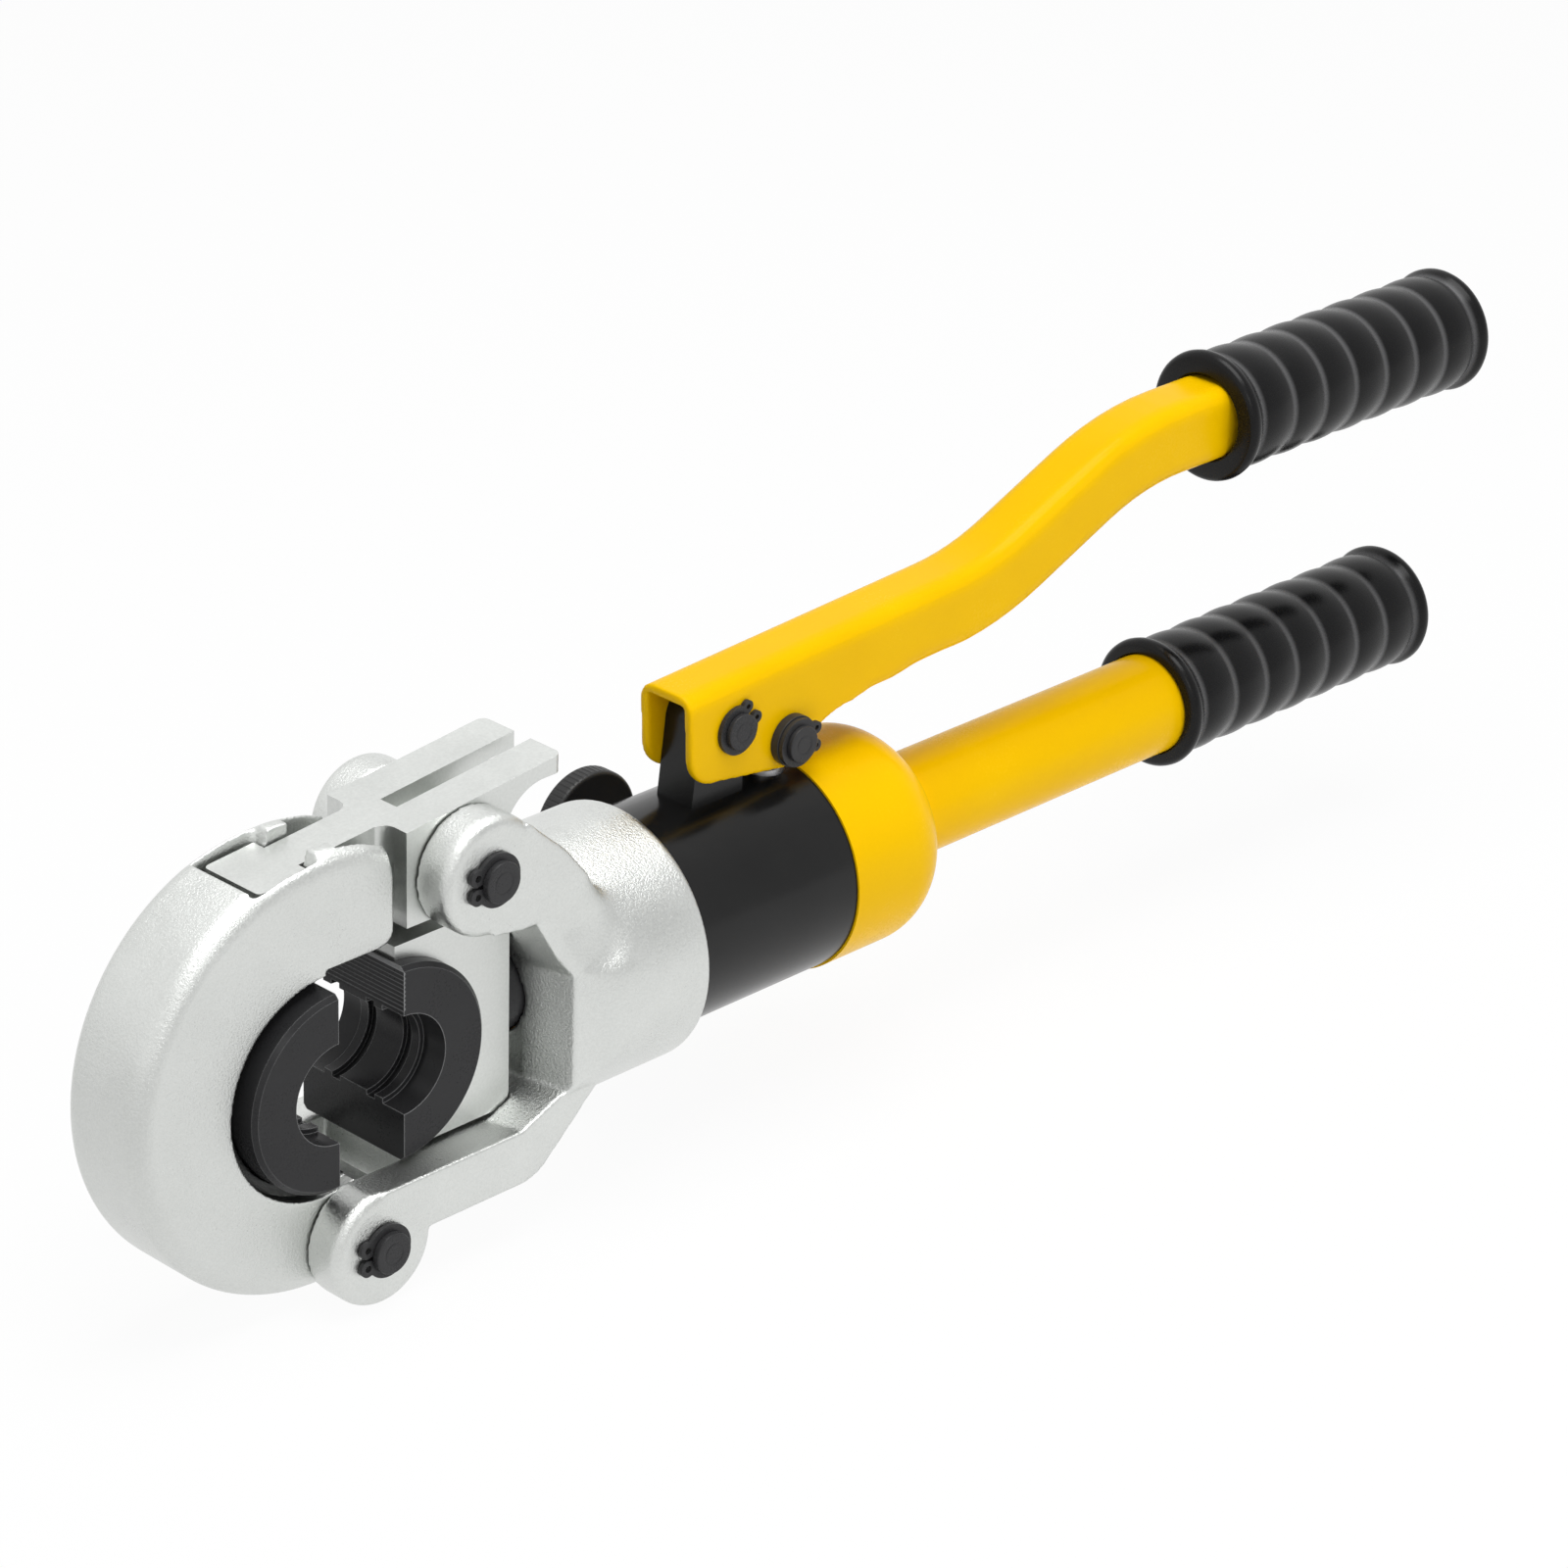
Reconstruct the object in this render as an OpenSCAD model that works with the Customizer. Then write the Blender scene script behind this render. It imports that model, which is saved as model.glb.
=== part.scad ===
// Hand-pumped hydraulic crimping tool for pipe fittings.
// Origin: centre of the crimp bore, on the parting plane of the jaw die.
// +X runs back along the ram and the fixed handle, +Z is the lever side, every pin lies along Y.

/* [Dies] */
// Radius of the crimp bore on its ridges
bore_r = 12.3; // [9:0.1:13]
// Depth of the bore's mouths and grooves below its ridges
bore_relief = 1.4; // [0.5:0.1:2.5]
// Length of each mouth of the bore
mouth_l = 8; // [5:0.5:9]
// Width of the ridge behind each mouth
ridge_w = 3; // [2:0.25:3.5]
// Width of the groove behind each ridge
groove_w = 3; // [2:0.25:3.5]
// Outer radius of a closed pair of dies
die_r = 27; // [24:0.5:29]
// Length of the dies along the pipe
die_w = 38; // [32:1:44]
// Chamfer round the end faces of the dies
die_chamfer = 1.2; // [0.5:0.1:2]
// Distance between the parting faces with the ram drawn back
die_gap = 21; // [16:0.5:24]
// Gap left between the parting faces at the end of the stroke
closed_gap = 0.4; // [0.2:0.1:1]
// Radius of the dowels that locate the dies
dowel_r = 2.5; // [1.5:0.1:3.5]
// Length of the dowels
dowel_l = 9; // [6:0.5:12]

/* [Jaw] */
// Metal in front of the die seat
jaw_front_wall = 32; // [28:0.5:36]
// Rim centre in front of the parting plane
jaw_fwd = 0; // [0:0.5:4]
// Rim centre above the ram axis
jaw_up = 3; // [1:0.5:7]
// Thickness of the jaw
jaw_w = 29.2; // [26:0.2:32]
// Rounding of the jaw's rim
jaw_edge = 5.5; // [3:0.25:8]
// Underside of the latch prongs above the dies
prong_gap = 5; // [3:0.25:7]
// Overlap of the latch prongs behind the parting plane
prong_l = 21.7; // [18:0.1:22]
// Rounding of the prongs' lower corners
prong_edge = 4; // [1:0.25:6]
// Top of the jaw's lower limb below the dies
throat_gap = 1.4; // [1:0.1:3]
// Metal of the eye round the hinge pin
eye_wall = 8.5; // [6:0.25:9]
// Width of the die seat's relieved mouth
seat_mouth = 3.2; // [2:0.2:5]
// Depth of the die seat's relieved mouth
seat_mouth_d = 4; // [2:0.5:6]

/* [Latch] */
// Half width of the T-shaped head
tee_half = 10.3; // [9:0.1:11]
// Half width of the neck
neck_half = 6.3; // [5:0.1:7]
// Length of the head along the tool
tee_l = 14.2; // [10:0.2:16]
// Depth of the head and neck
tee_d = 13.5; // [11:0.5:15]
// Top of the head above the latch pin
tee_up = 10.5; // [9:0.25:12]
// Thickness of the lips that hold the head
lip_t = 9; // [7:0.25:11]
// Front of the lips ahead of the parting plane
lip_fwd = 2.2; // [1:0.1:4]
// Front of the wide body ahead of the latch pin
latch_body_l = 18.7; // [17:0.1:19.5]
// Metal of the body below the latch pin
latch_wall = 6.1; // [5:0.1:6.5]
// Length of the tail behind the latch pin
tail_l = 33; // [31:0.2:38]
// Thickness of the tail's tip
tail_t = 5; // [4:0.5:7]
// Width of the slot that forks the tail
tail_slot = 6; // [4:0.5:8]
// Rounding of the tail's corners
tail_edge = 2.5; // [1:0.25:4]
// Fillet between the neck and the wide body
neck_fillet = 4; // [2:0.25:4.2]
// Play between the latch head and its pocket
latch_play = 0.7; // [0.4:0.1:1]
// Play beside the latch head
tee_gap = 1.4; // [0.6:0.1:1.8]

/* [Yoke] */
// Hinge pin behind the parting plane
hinge_x = 8.5; // [6:0.5:10]
// Latch pin behind the parting plane
latch_x = 44.7; // [43:0.1:47]
// Latch pin above the prongs' underside
latch_rise = 14; // [13:0.25:16]
// Metal of the ears round both pins
ear_wall = 10.5; // [9:0.25:11]
// Thickness of each ear
ear_t = 11; // [9:0.25:13]
// Side play of the jaw between the ears
fork_play = 0.4; // [0.3:0.05:0.8]
// Rounding of the ears' outer rims
ear_edge = 3; // [1:0.25:3.5]
// Metal of the collar round the cylinder's thread
collar_wall = 7; // [5:0.25:9]
// Length of the cylinder's thread in the collar
thread_l = 34; // [28:0.5:40]
// Rounding of the collar's rear rim
collar_edge = 2.2; // [1:0.2:3]
// Thickness of the window's rear wall round the ram
wall_t = 12; // [10:0.5:14]
// Height of the window's rear wall above the ram axis
wall_up = 10.5; // [6:0.5:14]
// Depth of the window's rear wall below the ram axis
wall_down = 22; // [16:0.5:23]
// Thickness of the lower arm
arm_t = 15; // [11:0.5:16]
// Rounding of the lower arm's rear corner
arm_edge = 13; // [8:0.5:15]

/* [Pins] */
// Radius of the hinge pin and the latch pin
pin_r = 5.5; // [4.5:0.1:6]
// Length of those pins outside the ears
pin_out = 3.4; // [2.5:0.1:5]
// Radius of the lever's two pins
lever_pin_r = 5; // [4:0.1:5.4]
// Length of the fulcrum pin outside the lever
fulcrum_out = 3; // [2.5:0.1:4]
// Thickness of the plunger pin's washers
washer_t = 2.6; // [1.5:0.1:3.5]
// Thickness of a circlip
clip_t = 1.2; // [0.8:0.1:1.6]
// Radial width of a circlip
clip_w = 1.7; // [1.4:0.1:2.4]
// Radius of a circlip's lug
clip_lug_r = 1.7; // [1.3:0.1:2]
// Radius of the hole in a circlip's lug
clip_hole_r = 0.7; // [0.4:0.05:0.9]

/* [Ram] */
// Metal of the die holder behind the die seat
holder_web = 12.2; // [11.5:0.1:14]
// Rounding of the die holder's rear corners
holder_edge = 4.5; // [3:0.25:6]
// Ram in sight behind the die holder
ram_show = 5.8; // [4:0.2:8]
// Radius of the ram
ram_r = 13; // [11.5:0.25:14]
// Length of the piston
piston_l = 11.5; // [9:0.5:14]
// Wire diameter of the return spring
spring_wire = 2.6; // [2:0.1:3]
// Coils of the return spring
spring_coils = 5; // [4:1:7]

/* [Cylinder and pump] */
// Outer radius of the cylinder
cyl_r = 30; // [29:0.5:32]
// Wall between the cylinder's thread and its bore
cyl_wall = 6; // [5:0.5:6.5]
// Length of the pump block behind the cylinder's bore
pump_l = 42.1; // [40:0.1:46]
// Fulcrum pin ahead of the cylinder's rear end
fulcrum_back = 26.1; // [25:0.1:28]
// Fulcrum pin above the cylinder
fulcrum_up = 19.5; // [19:0.1:22]
// Metal of the post round the fulcrum pin
post_wall = 5.2; // [4.4:0.1:5.6]
// Front of the post's foot ahead of the fulcrum pin
post_fwd = 12.6; // [11:0.1:13]
// Rear of the post behind the fulcrum pin
post_back = 5.8; // [5.4:0.1:6.2]
// Radius of the pump plunger
plunger_r = 4; // [3:0.1:4.3]
// Metal of the gland nut round the plunger
gland_wall = 2.2; // [1.8:0.1:2.4]
// Depth of the gland nut and its seal
gland_d = 12; // [9:0.5:14]
// Lower end of the plunger's bore below the ram axis
plunger_bore_z = 12; // [10:0.5:15]
// Radius of the release knob
knob_r = 16; // [13:0.5:18]
// Thickness of the release knob
knob_t = 6.1; // [5:0.1:8]
// Release knob ahead of the cylinder's rear end
knob_back = 33.1; // [31:0.1:34]
// Release knob above the ram axis
knob_z = 7; // [4:0.5:10]
// Grip grooves round the release knob
knob_grooves = 60; // [24:1:72]

/* [Fixed handle] */
// Step of the end cap above the cylinder
cap_step = 0.6; // [0.3:0.1:1]
// Length of the end cap's straight part
cap_l = 22.7; // [20:0.1:28]
// Radius of the end cap's round shoulder
cap_shoulder_r = 18; // [15:0.5:19]
// Wall of the end cap
cap_wall = 4; // [3:0.25:4.5]
// Outer radius of the handle tube
tube_r = 14.5; // [13:0.1:15]
// Wall of the handle tube
tube_wall = 2.5; // [1.5:0.1:3.5]
// Bare length of the handle tube
tube_l = 107.5; // [90:0.5:125]

/* [Grips] */
// Length of a grip
grip_l = 107; // [95:0.5:120]
// Radius of a grip over its ribs
grip_r = 17.4; // [17:0.1:18]
// Radius of the ring at the front of a grip
grip_ring_r = 19; // [18.2:0.1:20.5]
// Length of that ring
grip_ring_l = 7; // [5:0.25:9]
// Radius of the ring at the rear of a grip
grip_end_r = 18.2; // [17.8:0.1:19.5]
// Length of that ring
grip_end_l = 6; // [5:0.25:8]
// Thickness of a grip's closed end
grip_end_t = 4; // [3:0.25:4.5]
// Ribs along a grip
grip_ribs = 7; // [5:1:9]
// Height of a rib above the valleys
rib_h = 0.9; // [0.5:0.05:1.2]

/* [Lever] */
// Width over the lever's flanges
lever_w = 18.6; // [18:0.1:20]
// Height of the lever's section
lever_h = 21.5; // [20:0.25:22]
// Thickness of the lever's metal
lever_t = 2.6; // [2:0.1:2.8]
// Rounding of the lever's corners
lever_edge = 4.6; // [3.4:0.1:5.5]
// Rise of the lever's front part in degrees
lever_tilt = 3; // [1:0.25:5]
// Further rise of the lever's sloping part in degrees
lever_bend = 20; // [14:0.5:24]
// Radius of both bends on the middle line
bend_r = 88; // [60:1:110]
// Length of the sloping part between the bends
slope_l = 30; // [15:0.5:40]
// Straight length between the second bend and the grip
lever_run = 16.3; // [8:0.1:24]
// Top of the lever above the fulcrum pin
lever_up = 13.8; // [13.4:0.1:15]
// First bend behind the fulcrum pin
bend_u = 84; // [76:0.5:95]
// Closed underside of the lever behind the fulcrum pin
under_u = 58; // [52:0.5:64]
// Radius of the lever's front lobe
lobe_r = 9; // [8:0.1:9.2]
// Front lobe ahead of the fulcrum pin
lobe_fwd = 7.2; // [6.5:0.1:7.4]
// Front lobe below the fulcrum pin
lobe_down = 3.8; // [2:0.1:4.5]
// Metal of the lobe round the plunger pin
plunger_lobe_wall = 3.4; // [2.6:0.1:3.6]
// Plunger pin behind the fulcrum pin
arm_x = 20; // [19.5:0.1:21.5]
// Plunger pin below the fulcrum pin
arm_z = 8.8; // [8:0.1:9]

/* [Hidden] */
$fn = 64;

// Overrun of a cut past the face it opens
over = 1;
// Radial clearance of a piece that slips into its seat
slip = 0.05;
// Radial clearance of a running pin, ram or plunger
run_gap = 0.06;
// Clearance between a moving piece and what it passes
pass_gap = 0.4;

// Jaw and dies
jaw_r = jaw_front_wall + die_r - jaw_fwd;
prong_z = die_r + prong_gap;
throat_z = die_r + throat_gap;
eye_r = pin_r + eye_wall;
eye_gap = 1.6;
hinge_z = throat_z + eye_r + eye_gap;
jaw_far = 2 * jaw_r;
ram_seat_x = die_gap + die_r;
ram_dowel_y = die_w / 4;

// Latch
latch_z = prong_z + latch_rise;
lip_r = latch_x + lip_fwd;
tee_rear_r = lip_r + latch_play;
tee_x = latch_x - tee_rear_r - tee_l;
tee_top = latch_z + tee_up;
tee_bottom = tee_top - tee_d;
pocket_gap = 1.5;
pocket_z = tee_bottom - pocket_gap;
pocket_room = 3.4;
pocket_x = tee_x - pocket_room;
tee_edge = 1.5;
body_rise = 4.5;
body_top = tee_top + body_rise;
tail_rise = 4.6;
tail_top = body_top + tail_rise;
latch_half = jaw_w / 2;
latch_r = pin_r + latch_wall;
latch_front = latch_x - latch_body_l;
neck_end = latch_front - neck_fillet;
tail_x = latch_x + tail_l;
cove_r = 14;
cove_room = 1.55;
cove_x = latch_x + latch_r + cove_r + cove_room;
cove_z = tail_top - tail_t - cove_r;

// Yoke
ear_r = pin_r + ear_wall;
ear_in = jaw_w / 2 + fork_play;
ear_out = ear_in + ear_t;
fork_room = 2.5;
fork_x = hinge_x + eye_r + fork_room;
fork_front = hinge_x - ear_r - over;
holder_x = ram_seat_x + holder_web;
wall_x = holder_x + ram_show;
chamber_x = wall_x + wall_t;
bush_wall = 3;
bush_r = ram_r + bush_wall;
bush_set = 3;
bush_x = wall_x + bush_set;
thread_step = 2;
thread_r = cyl_r - thread_step;
collar_r = thread_r + collar_wall;
collar_x = chamber_x + thread_l;
window_lean = 5;
window_x = wall_x - window_lean;
cheek_slant_share = 0.29;
cheek_set = 4.4;
cheek_swell = 2;
cheek_turn = 26.5;
brow_l = 17;
brow_x = wall_x + brow_l;
brow_drop = 6;
brow_lean = 10.5;
arm_bottom = throat_z + arm_t;
arm_turn = 42;
facet_turn = 14;
facet_swell = 3;
facet_z = 11.5;
facet_l = 18;

// Ram, cylinder and pump
holder_set = 1;
holder_play = 1.2;
holder_half = jaw_w / 2 - slip;
spigot_r = 8;
spigot_l = 3;
screw_r = 4;
screw_head_r = 6.5;
screw_head_l = 5;
screw_hold = 15;
stroke = die_gap - closed_gap;
spring_slack = 1.8;
spring_room = stroke + (spring_coils + 1) * spring_wire + spring_slack;
piston_x = chamber_x + spring_room;
piston_r = thread_r - cyl_wall;
piston_back = 0.7;
bore_end = piston_x + piston_l + piston_back;
seal_w = 4;
seal_d = 2.2;
cyl_x = bore_end + pump_l;
cap_r = cyl_r + cap_step;
cap_spigot_r = cap_r - cap_wall;
cap_spigot_l = 12;
spigot_x = cyl_x + cap_spigot_l;
fulcrum_x = cyl_x - fulcrum_back;
fulcrum_z = cyl_r + fulcrum_up;
lever_in = lever_w / 2 - lever_t;
post_play = 0.3;
post_half = lever_in - post_play;
post_r = lever_pin_r + post_wall;
gland_r = plunger_r + gland_wall;
gland_land = 0.6;
gland_stand = 1;
plunger_x = cyl_x - gland_r - gland_land;
ball_r = 3.2;
passage_r = 1.6;
return_r = 1.1;
plug_l = 5;
valve_z = -plunger_bore_z / 2;
spindle_r = 4;
spindle_in = 6;
nut_r = 8;
nut_t = 4;
knob_gap = 2;
knob_x = cyl_x - knob_back;
knob_y = cyl_r + nut_t + knob_gap;

// Handle and grips
shoulder_x = cyl_x + cap_l;
cap_end_x = shoulder_x + cap_shoulder_r;
tube_in = 2 * cap_wall;
grip_x = cap_end_x + tube_l;
bladder_wall = 1.6;

// Lever path, measured along its middle line from below the fulcrum pin
plunger_lobe_r = lever_pin_r + plunger_lobe_wall;
section_v = lever_up - lever_h / 2;
under_v = section_v - lever_h / 2;
steep = lever_tilt + lever_bend;
bend_l = PI * bend_r / 180;
s_slope = bend_u + bend_l * lever_bend;
s_fall = s_slope + slope_l;
s_level = s_fall + bend_l * steep;
s_grip = s_level + lever_run;
lobe_blend = 14;
lower_edge = 0.5;
corner_steps = 4;

// Levered plunger
arm_r = sqrt(arm_x * arm_x + arm_z * arm_z);
arm_angle = atan2(-arm_z, arm_x);
plunger_u = arm_r * cos(arm_angle - lever_tilt);
plunger_v = arm_r * sin(arm_angle - lever_tilt);
plunger_pin_x = fulcrum_x + arm_x;
plunger_pin_z = fulcrum_z - arm_z;
plunger_sway = (arm_r - arm_x) / 2;
plunger_eye_x = plunger_pin_x + plunger_sway;

// Circlips
clip_groove = 0.7;
washer_rim = 0.4;
clip_play = 0.15;
head_clip_y = ear_out + clip_play;
fulcrum_clip_y = lever_w / 2 + clip_play;
plunger_clip_y = lever_w / 2 + washer_t + clip_play;
washer_r = lever_pin_r + clip_w + washer_rim;
head_clip_turn = 180;
fulcrum_clip_turn = -40;
plunger_clip_turn = 0;

// Round bar along X
module bar_x(x0, x1, r) {
    translate([x0, 0, 0])
        rotate([0, 90, 0])
            cylinder(h = x1 - x0, r = r);
}

// Round bar along Y through the point x, z
module bar_y(x, z, y0, y1, r) {
    translate([x, y0, z])
        rotate([-90, 0, 0])
            cylinder(h = y1 - y0, r = r);
}

// Round bar along Z through the point x, 0
module bar_z(x, z0, z1, r) {
    translate([x, 0, z0])
        cylinder(h = z1 - z0, r = r);
}

// Side outline, drawn in X and Z, thickened evenly about the middle plane
module plate(w) {
    rotate([90, 0, 0])
        linear_extrude(height = w, center = true)
            children();
}

// Block between two X places and two Z places
module block(x0, x1, half_y, z0, z1) {
    translate([x0, -half_y, z0])
        cube([x1 - x0, 2 * half_y, z1 - z0]);
}

// The child and its mirror image across the middle plane
module both_sides() {
    children();
    mirror([0, 1, 0])
        children();
}

// Profile of radius and length turned about the X axis
module turned_x() {
    rotate([0, 90, 0])
        rotate_extrude()
            children();
}

// Profile of a disc with rounded rims
module rim_profile(r, w, edge) {
    translate([0, -w / 2 + edge])
        square([r, w - 2 * edge]);
    translate([0, -w / 2])
        square([r - edge, w]);
    for (side = [-1, 1])
        translate([r - edge, side * (w / 2 - edge)])
            circle(r = edge);
}

// Circlip: open ring with two drilled lugs beside its gap
module circlip(pin, turn) {
    lug_at = pin + clip_lug_r;
    lug_turn = asin(clip_lug_r * 3 / 2 / lug_at);
    rotate([-90, 0, 0])
        linear_extrude(height = clip_t)
            rotate(turn)
                difference() {
                    union() {
                        circle(r = pin + clip_w);
                        for (side = [-1, 1])
                            rotate(side * lug_turn)
                                translate([lug_at, 0])
                                    circle(r = clip_lug_r);
                    }
                    circle(r = pin - clip_groove + slip);
                    translate([0, -clip_lug_r / 2])
                        square([lug_at + clip_lug_r + over, clip_lug_r]);
                    for (side = [-1, 1])
                        rotate(side * lug_turn)
                            translate([lug_at, 0])
                                circle(r = clip_hole_r);
                }
}

// Pin with a circlip groove near each end
module grooved_pin(x, z, half, r, clip_y) {
    groove_y = clip_y - slip;
    groove_end = clip_y + clip_t + slip;
    difference() {
        bar_y(x, z, -half, half, r);
        both_sides()
            difference() {
                bar_y(x, z, groove_y, groove_end, r + over);
                bar_y(x, z, groove_y - over, groove_end + over, r - clip_groove);
            }
    }
}

// Closed pair of dies: chamfered ring whose bore has a middle barrel, two grooves, two ridges and two mouths
module die_ring() {
    half = die_w / 2;
    ridge_y = half - mouth_l;
    groove_y = ridge_y - ridge_w;
    barrel_y = groove_y - groove_w;
    rotate([-90, 0, 0])
        rotate_extrude()
            difference() {
                polygon([
                    [bore_r, -half],
                    [die_r - die_chamfer, -half],
                    [die_r, -half + die_chamfer],
                    [die_r, half - die_chamfer],
                    [die_r - die_chamfer, half],
                    [bore_r, half]
                ]);
                for (y = [-half - over, ridge_y])
                    translate([0, y])
                        square([bore_r + bore_relief, mouth_l + over]);
                for (y = [-groove_y, barrel_y])
                    translate([0, y])
                        square([bore_r + bore_relief, groove_w]);
            }
}

// Forged yoke: collar, window, lower arm and two pairs of ears
module yoke() {
    color("silver")
        difference() {
            union() {
                yoke_collar();
                for (pin = [[hinge_x, -hinge_z], [latch_x, latch_z]])
                    translate([pin[0], 0, pin[1]])
                        rotate([-90, 0, 0])
                            rotate_extrude()
                                rim_profile(ear_r, 2 * ear_out, ear_edge);
                plate(2 * ear_out)
                    upper_arm_outline();
                plate(2 * ear_out)
                    lower_arm_outline();
            }
            // Window for the dies, open on both sides, with a rear wall that flares outwards
            plate(3 * collar_r)
                polygon(window_points);
            window_flare(1);
            window_flare(-1);
            // Gap for the die holder and the latch, and for the jaw's eye below
            block(fork_front, window_x, ear_in, -throat_z, latch_z + 2 * ear_r);
            block(fork_front, fork_x, ear_in, -hinge_z - ear_r - over, 0);
            block(wall_x - window_lean - over, brow_x + over, ear_in, collar_r, latch_z + 2 * ear_r);
            // Bores for the pins, the ram's bush and the cylinder's thread
            bar_y(hinge_x, -hinge_z, -ear_out - over, ear_out + over, pin_r + slip);
            bar_y(latch_x, latch_z, -ear_out - over, ear_out + over, pin_r + slip);
            bar_x(window_x, chamber_x + over, ram_r + pass_gap);
            bar_x(bush_x, chamber_x + over, bush_r + slip);
            bar_x(chamber_x, collar_x + over, thread_r + slip);
        }
}

// Collar with a rounded rear rim, a slanted cheek on each side and a flat on each shoulder
module yoke_collar() {
    difference() {
        turned_x()
            union() {
                translate([0, window_x])
                    square([collar_r, collar_x - collar_edge - window_x]);
                translate([0, window_x])
                    square([collar_r - collar_edge, collar_x - window_x]);
                translate([collar_r - collar_edge, collar_x - collar_edge])
                    circle(r = collar_edge);
            }
        both_sides()
            translate([wall_x + cheek_set, ear_out + cheek_swell, 0])
                rotate([0, 0, cheek_turn])
                    translate([-collar_r, 0, -2 * collar_r])
                        cube([2 * collar_r, collar_r, 4 * collar_r]);
        both_sides()
            translate([window_x - over, ear_out + facet_swell, facet_z])
                rotate([facet_turn, 0, 0])
                    cube([wall_x + facet_l - window_x + over, collar_r, collar_r]);
    }
}

// Upper arm, from the latch ears down to the collar
module upper_arm_outline() {
    polygon([
        [latch_x, latch_z - ear_r],
        [wall_x - brow_lean, throat_z],
        [wall_x, wall_up],
        [brow_x, wall_up],
        [brow_x, collar_r - brow_drop],
        [wall_x + ear_edge, latch_z],
        [latch_x + ear_r * cos(45), latch_z + ear_r * sin(45)],
        [latch_x, latch_z]
    ]);
}

// Lower arm, from the hinge ears back to the collar, with a rounded rear corner
module lower_arm_outline() {
    corner_x = brow_x - (arm_bottom - wall_down) / tan(arm_turn) - arm_edge * tan(arm_turn / 2);
    corner_z = -arm_bottom + arm_edge;
    polygon([
        [hinge_x, -throat_z],
        [wall_x, -throat_z],
        [wall_x, -wall_down],
        [brow_x, -wall_down],
        [corner_x + (arm_edge - slip) * sin(arm_turn), corner_z - (arm_edge - slip) * cos(arm_turn)],
        [corner_x, -arm_bottom],
        [hinge_x, -arm_bottom]
    ]);
    translate([corner_x, corner_z])
        circle(r = arm_edge);
}

// Window seen from the side
window_points = [
    [fork_front, -throat_z],
    [wall_x - arm_t, -throat_z],
    [wall_x, -wall_down],
    [wall_x, wall_up],
    [wall_x - brow_lean, throat_z],
    [fork_front, throat_z]];

// Window of one side beyond the ram, leaning back towards the outside
module window_flare(side) {
    far = side * (ram_r + collar_r);
    near = side * ram_r;
    lean = collar_r * cheek_slant_share;
    inner = [for (p = window_points) [p[0], near, p[1]]];
    outer = [for (p = window_points) [p[0] + lean, far, p[1]]];
    polyhedron(
        points = side < 0 ? concat(outer, inner) : concat(inner, outer),
        faces = loft_faces(1, len(window_points)));
}

// Hinge pin of the jaw
module hinge_pin() {
    color("dimgray")
        grooved_pin(hinge_x, -hinge_z, ear_out + pin_out, pin_r, head_clip_y);
}

// Pivot pin of the latch
module latch_pin() {
    color("dimgray")
        grooved_pin(latch_x, latch_z, ear_out + pin_out, pin_r, head_clip_y);
}

// Four circlips on the two head pins
module head_circlips() {
    color("#1c1c1e")
        for (pin = [[hinge_x, -hinge_z], [latch_x, latch_z]])
            translate([pin[0], 0, pin[1]])
                both_sides()
                    translate([0, head_clip_y, 0])
                        circlip(pin_r, head_clip_turn);
}

// Hinged C-shaped jaw with a die seat and a T-shaped pocket for the latch
module jaw() {
    color("silver")
        difference() {
            union() {
                intersection() {
                    translate([-jaw_fwd, 0, jaw_up])
                        rotate([-90, 0, 0])
                            rotate_extrude()
                                rim_profile(jaw_r, jaw_w, jaw_edge);
                    plate(2 * jaw_w)
                        jaw_outline();
                }
                bar_y(hinge_x, -hinge_z, -jaw_w / 2, jaw_w / 2, eye_r);
            }
            // Die seat with a relieved mouth on both faces
            bar_y(0, 0, -jaw_w, jaw_w, die_r + slip);
            both_sides()
                bar_y(0, 0, jaw_w / 2 - seat_mouth_d, jaw_w, die_r + seat_mouth);
            // Pocket for the latch's head, its neck and the space behind the two lips
            difference() {
                block(pocket_x, lip_t, tee_half + tee_gap, pocket_z, jaw_far);
                bar_y(latch_x, latch_z, -jaw_w, jaw_w, lip_r);
            }
            block(pocket_x, prong_l + over, neck_half + latch_play, pocket_z, jaw_far);
            block(latch_x - lip_r + lip_t, prong_l + over, tee_half, pocket_z, jaw_far);
            // Bores for the hinge pin and the die's dowel
            bar_y(hinge_x, -hinge_z, -jaw_w, jaw_w, pin_r + run_gap);
            bar_x(-die_r - dowel_l / 2 - slip, 0, dowel_r + slip);
        }
}

// Jaw seen from the side: front limb, latch prongs and the web to the hinge eye
module jaw_outline() {
    translate([-jaw_far, -jaw_far])
        square([jaw_far, 2 * jaw_far]);
    translate([-over, prong_z + prong_edge])
        square([prong_l + over, jaw_far]);
    translate([-over, prong_z])
        square([prong_l + over - prong_edge, jaw_far]);
    translate([prong_l - prong_edge, prong_z + prong_edge])
        circle(r = prong_edge);
    translate([-over, -hinge_z])
        square([hinge_x + over, hinge_z - throat_z]);
}

// Front half of the die pair
module jaw_die() {
    color("#2b2c2e")
        difference() {
            intersection() {
                die_ring();
                block(-2 * die_r, 0, die_w, -2 * die_r, 2 * die_r);
            }
            bar_x(-die_r - dowel_l, -die_r + dowel_l / 2 + slip, dowel_r + slip);
        }
}

// Dowel that locates the front die in the jaw
module jaw_dowel() {
    color("gray")
        bar_x(-die_r - dowel_l / 2, -die_r + dowel_l / 2, dowel_r);
}

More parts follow.
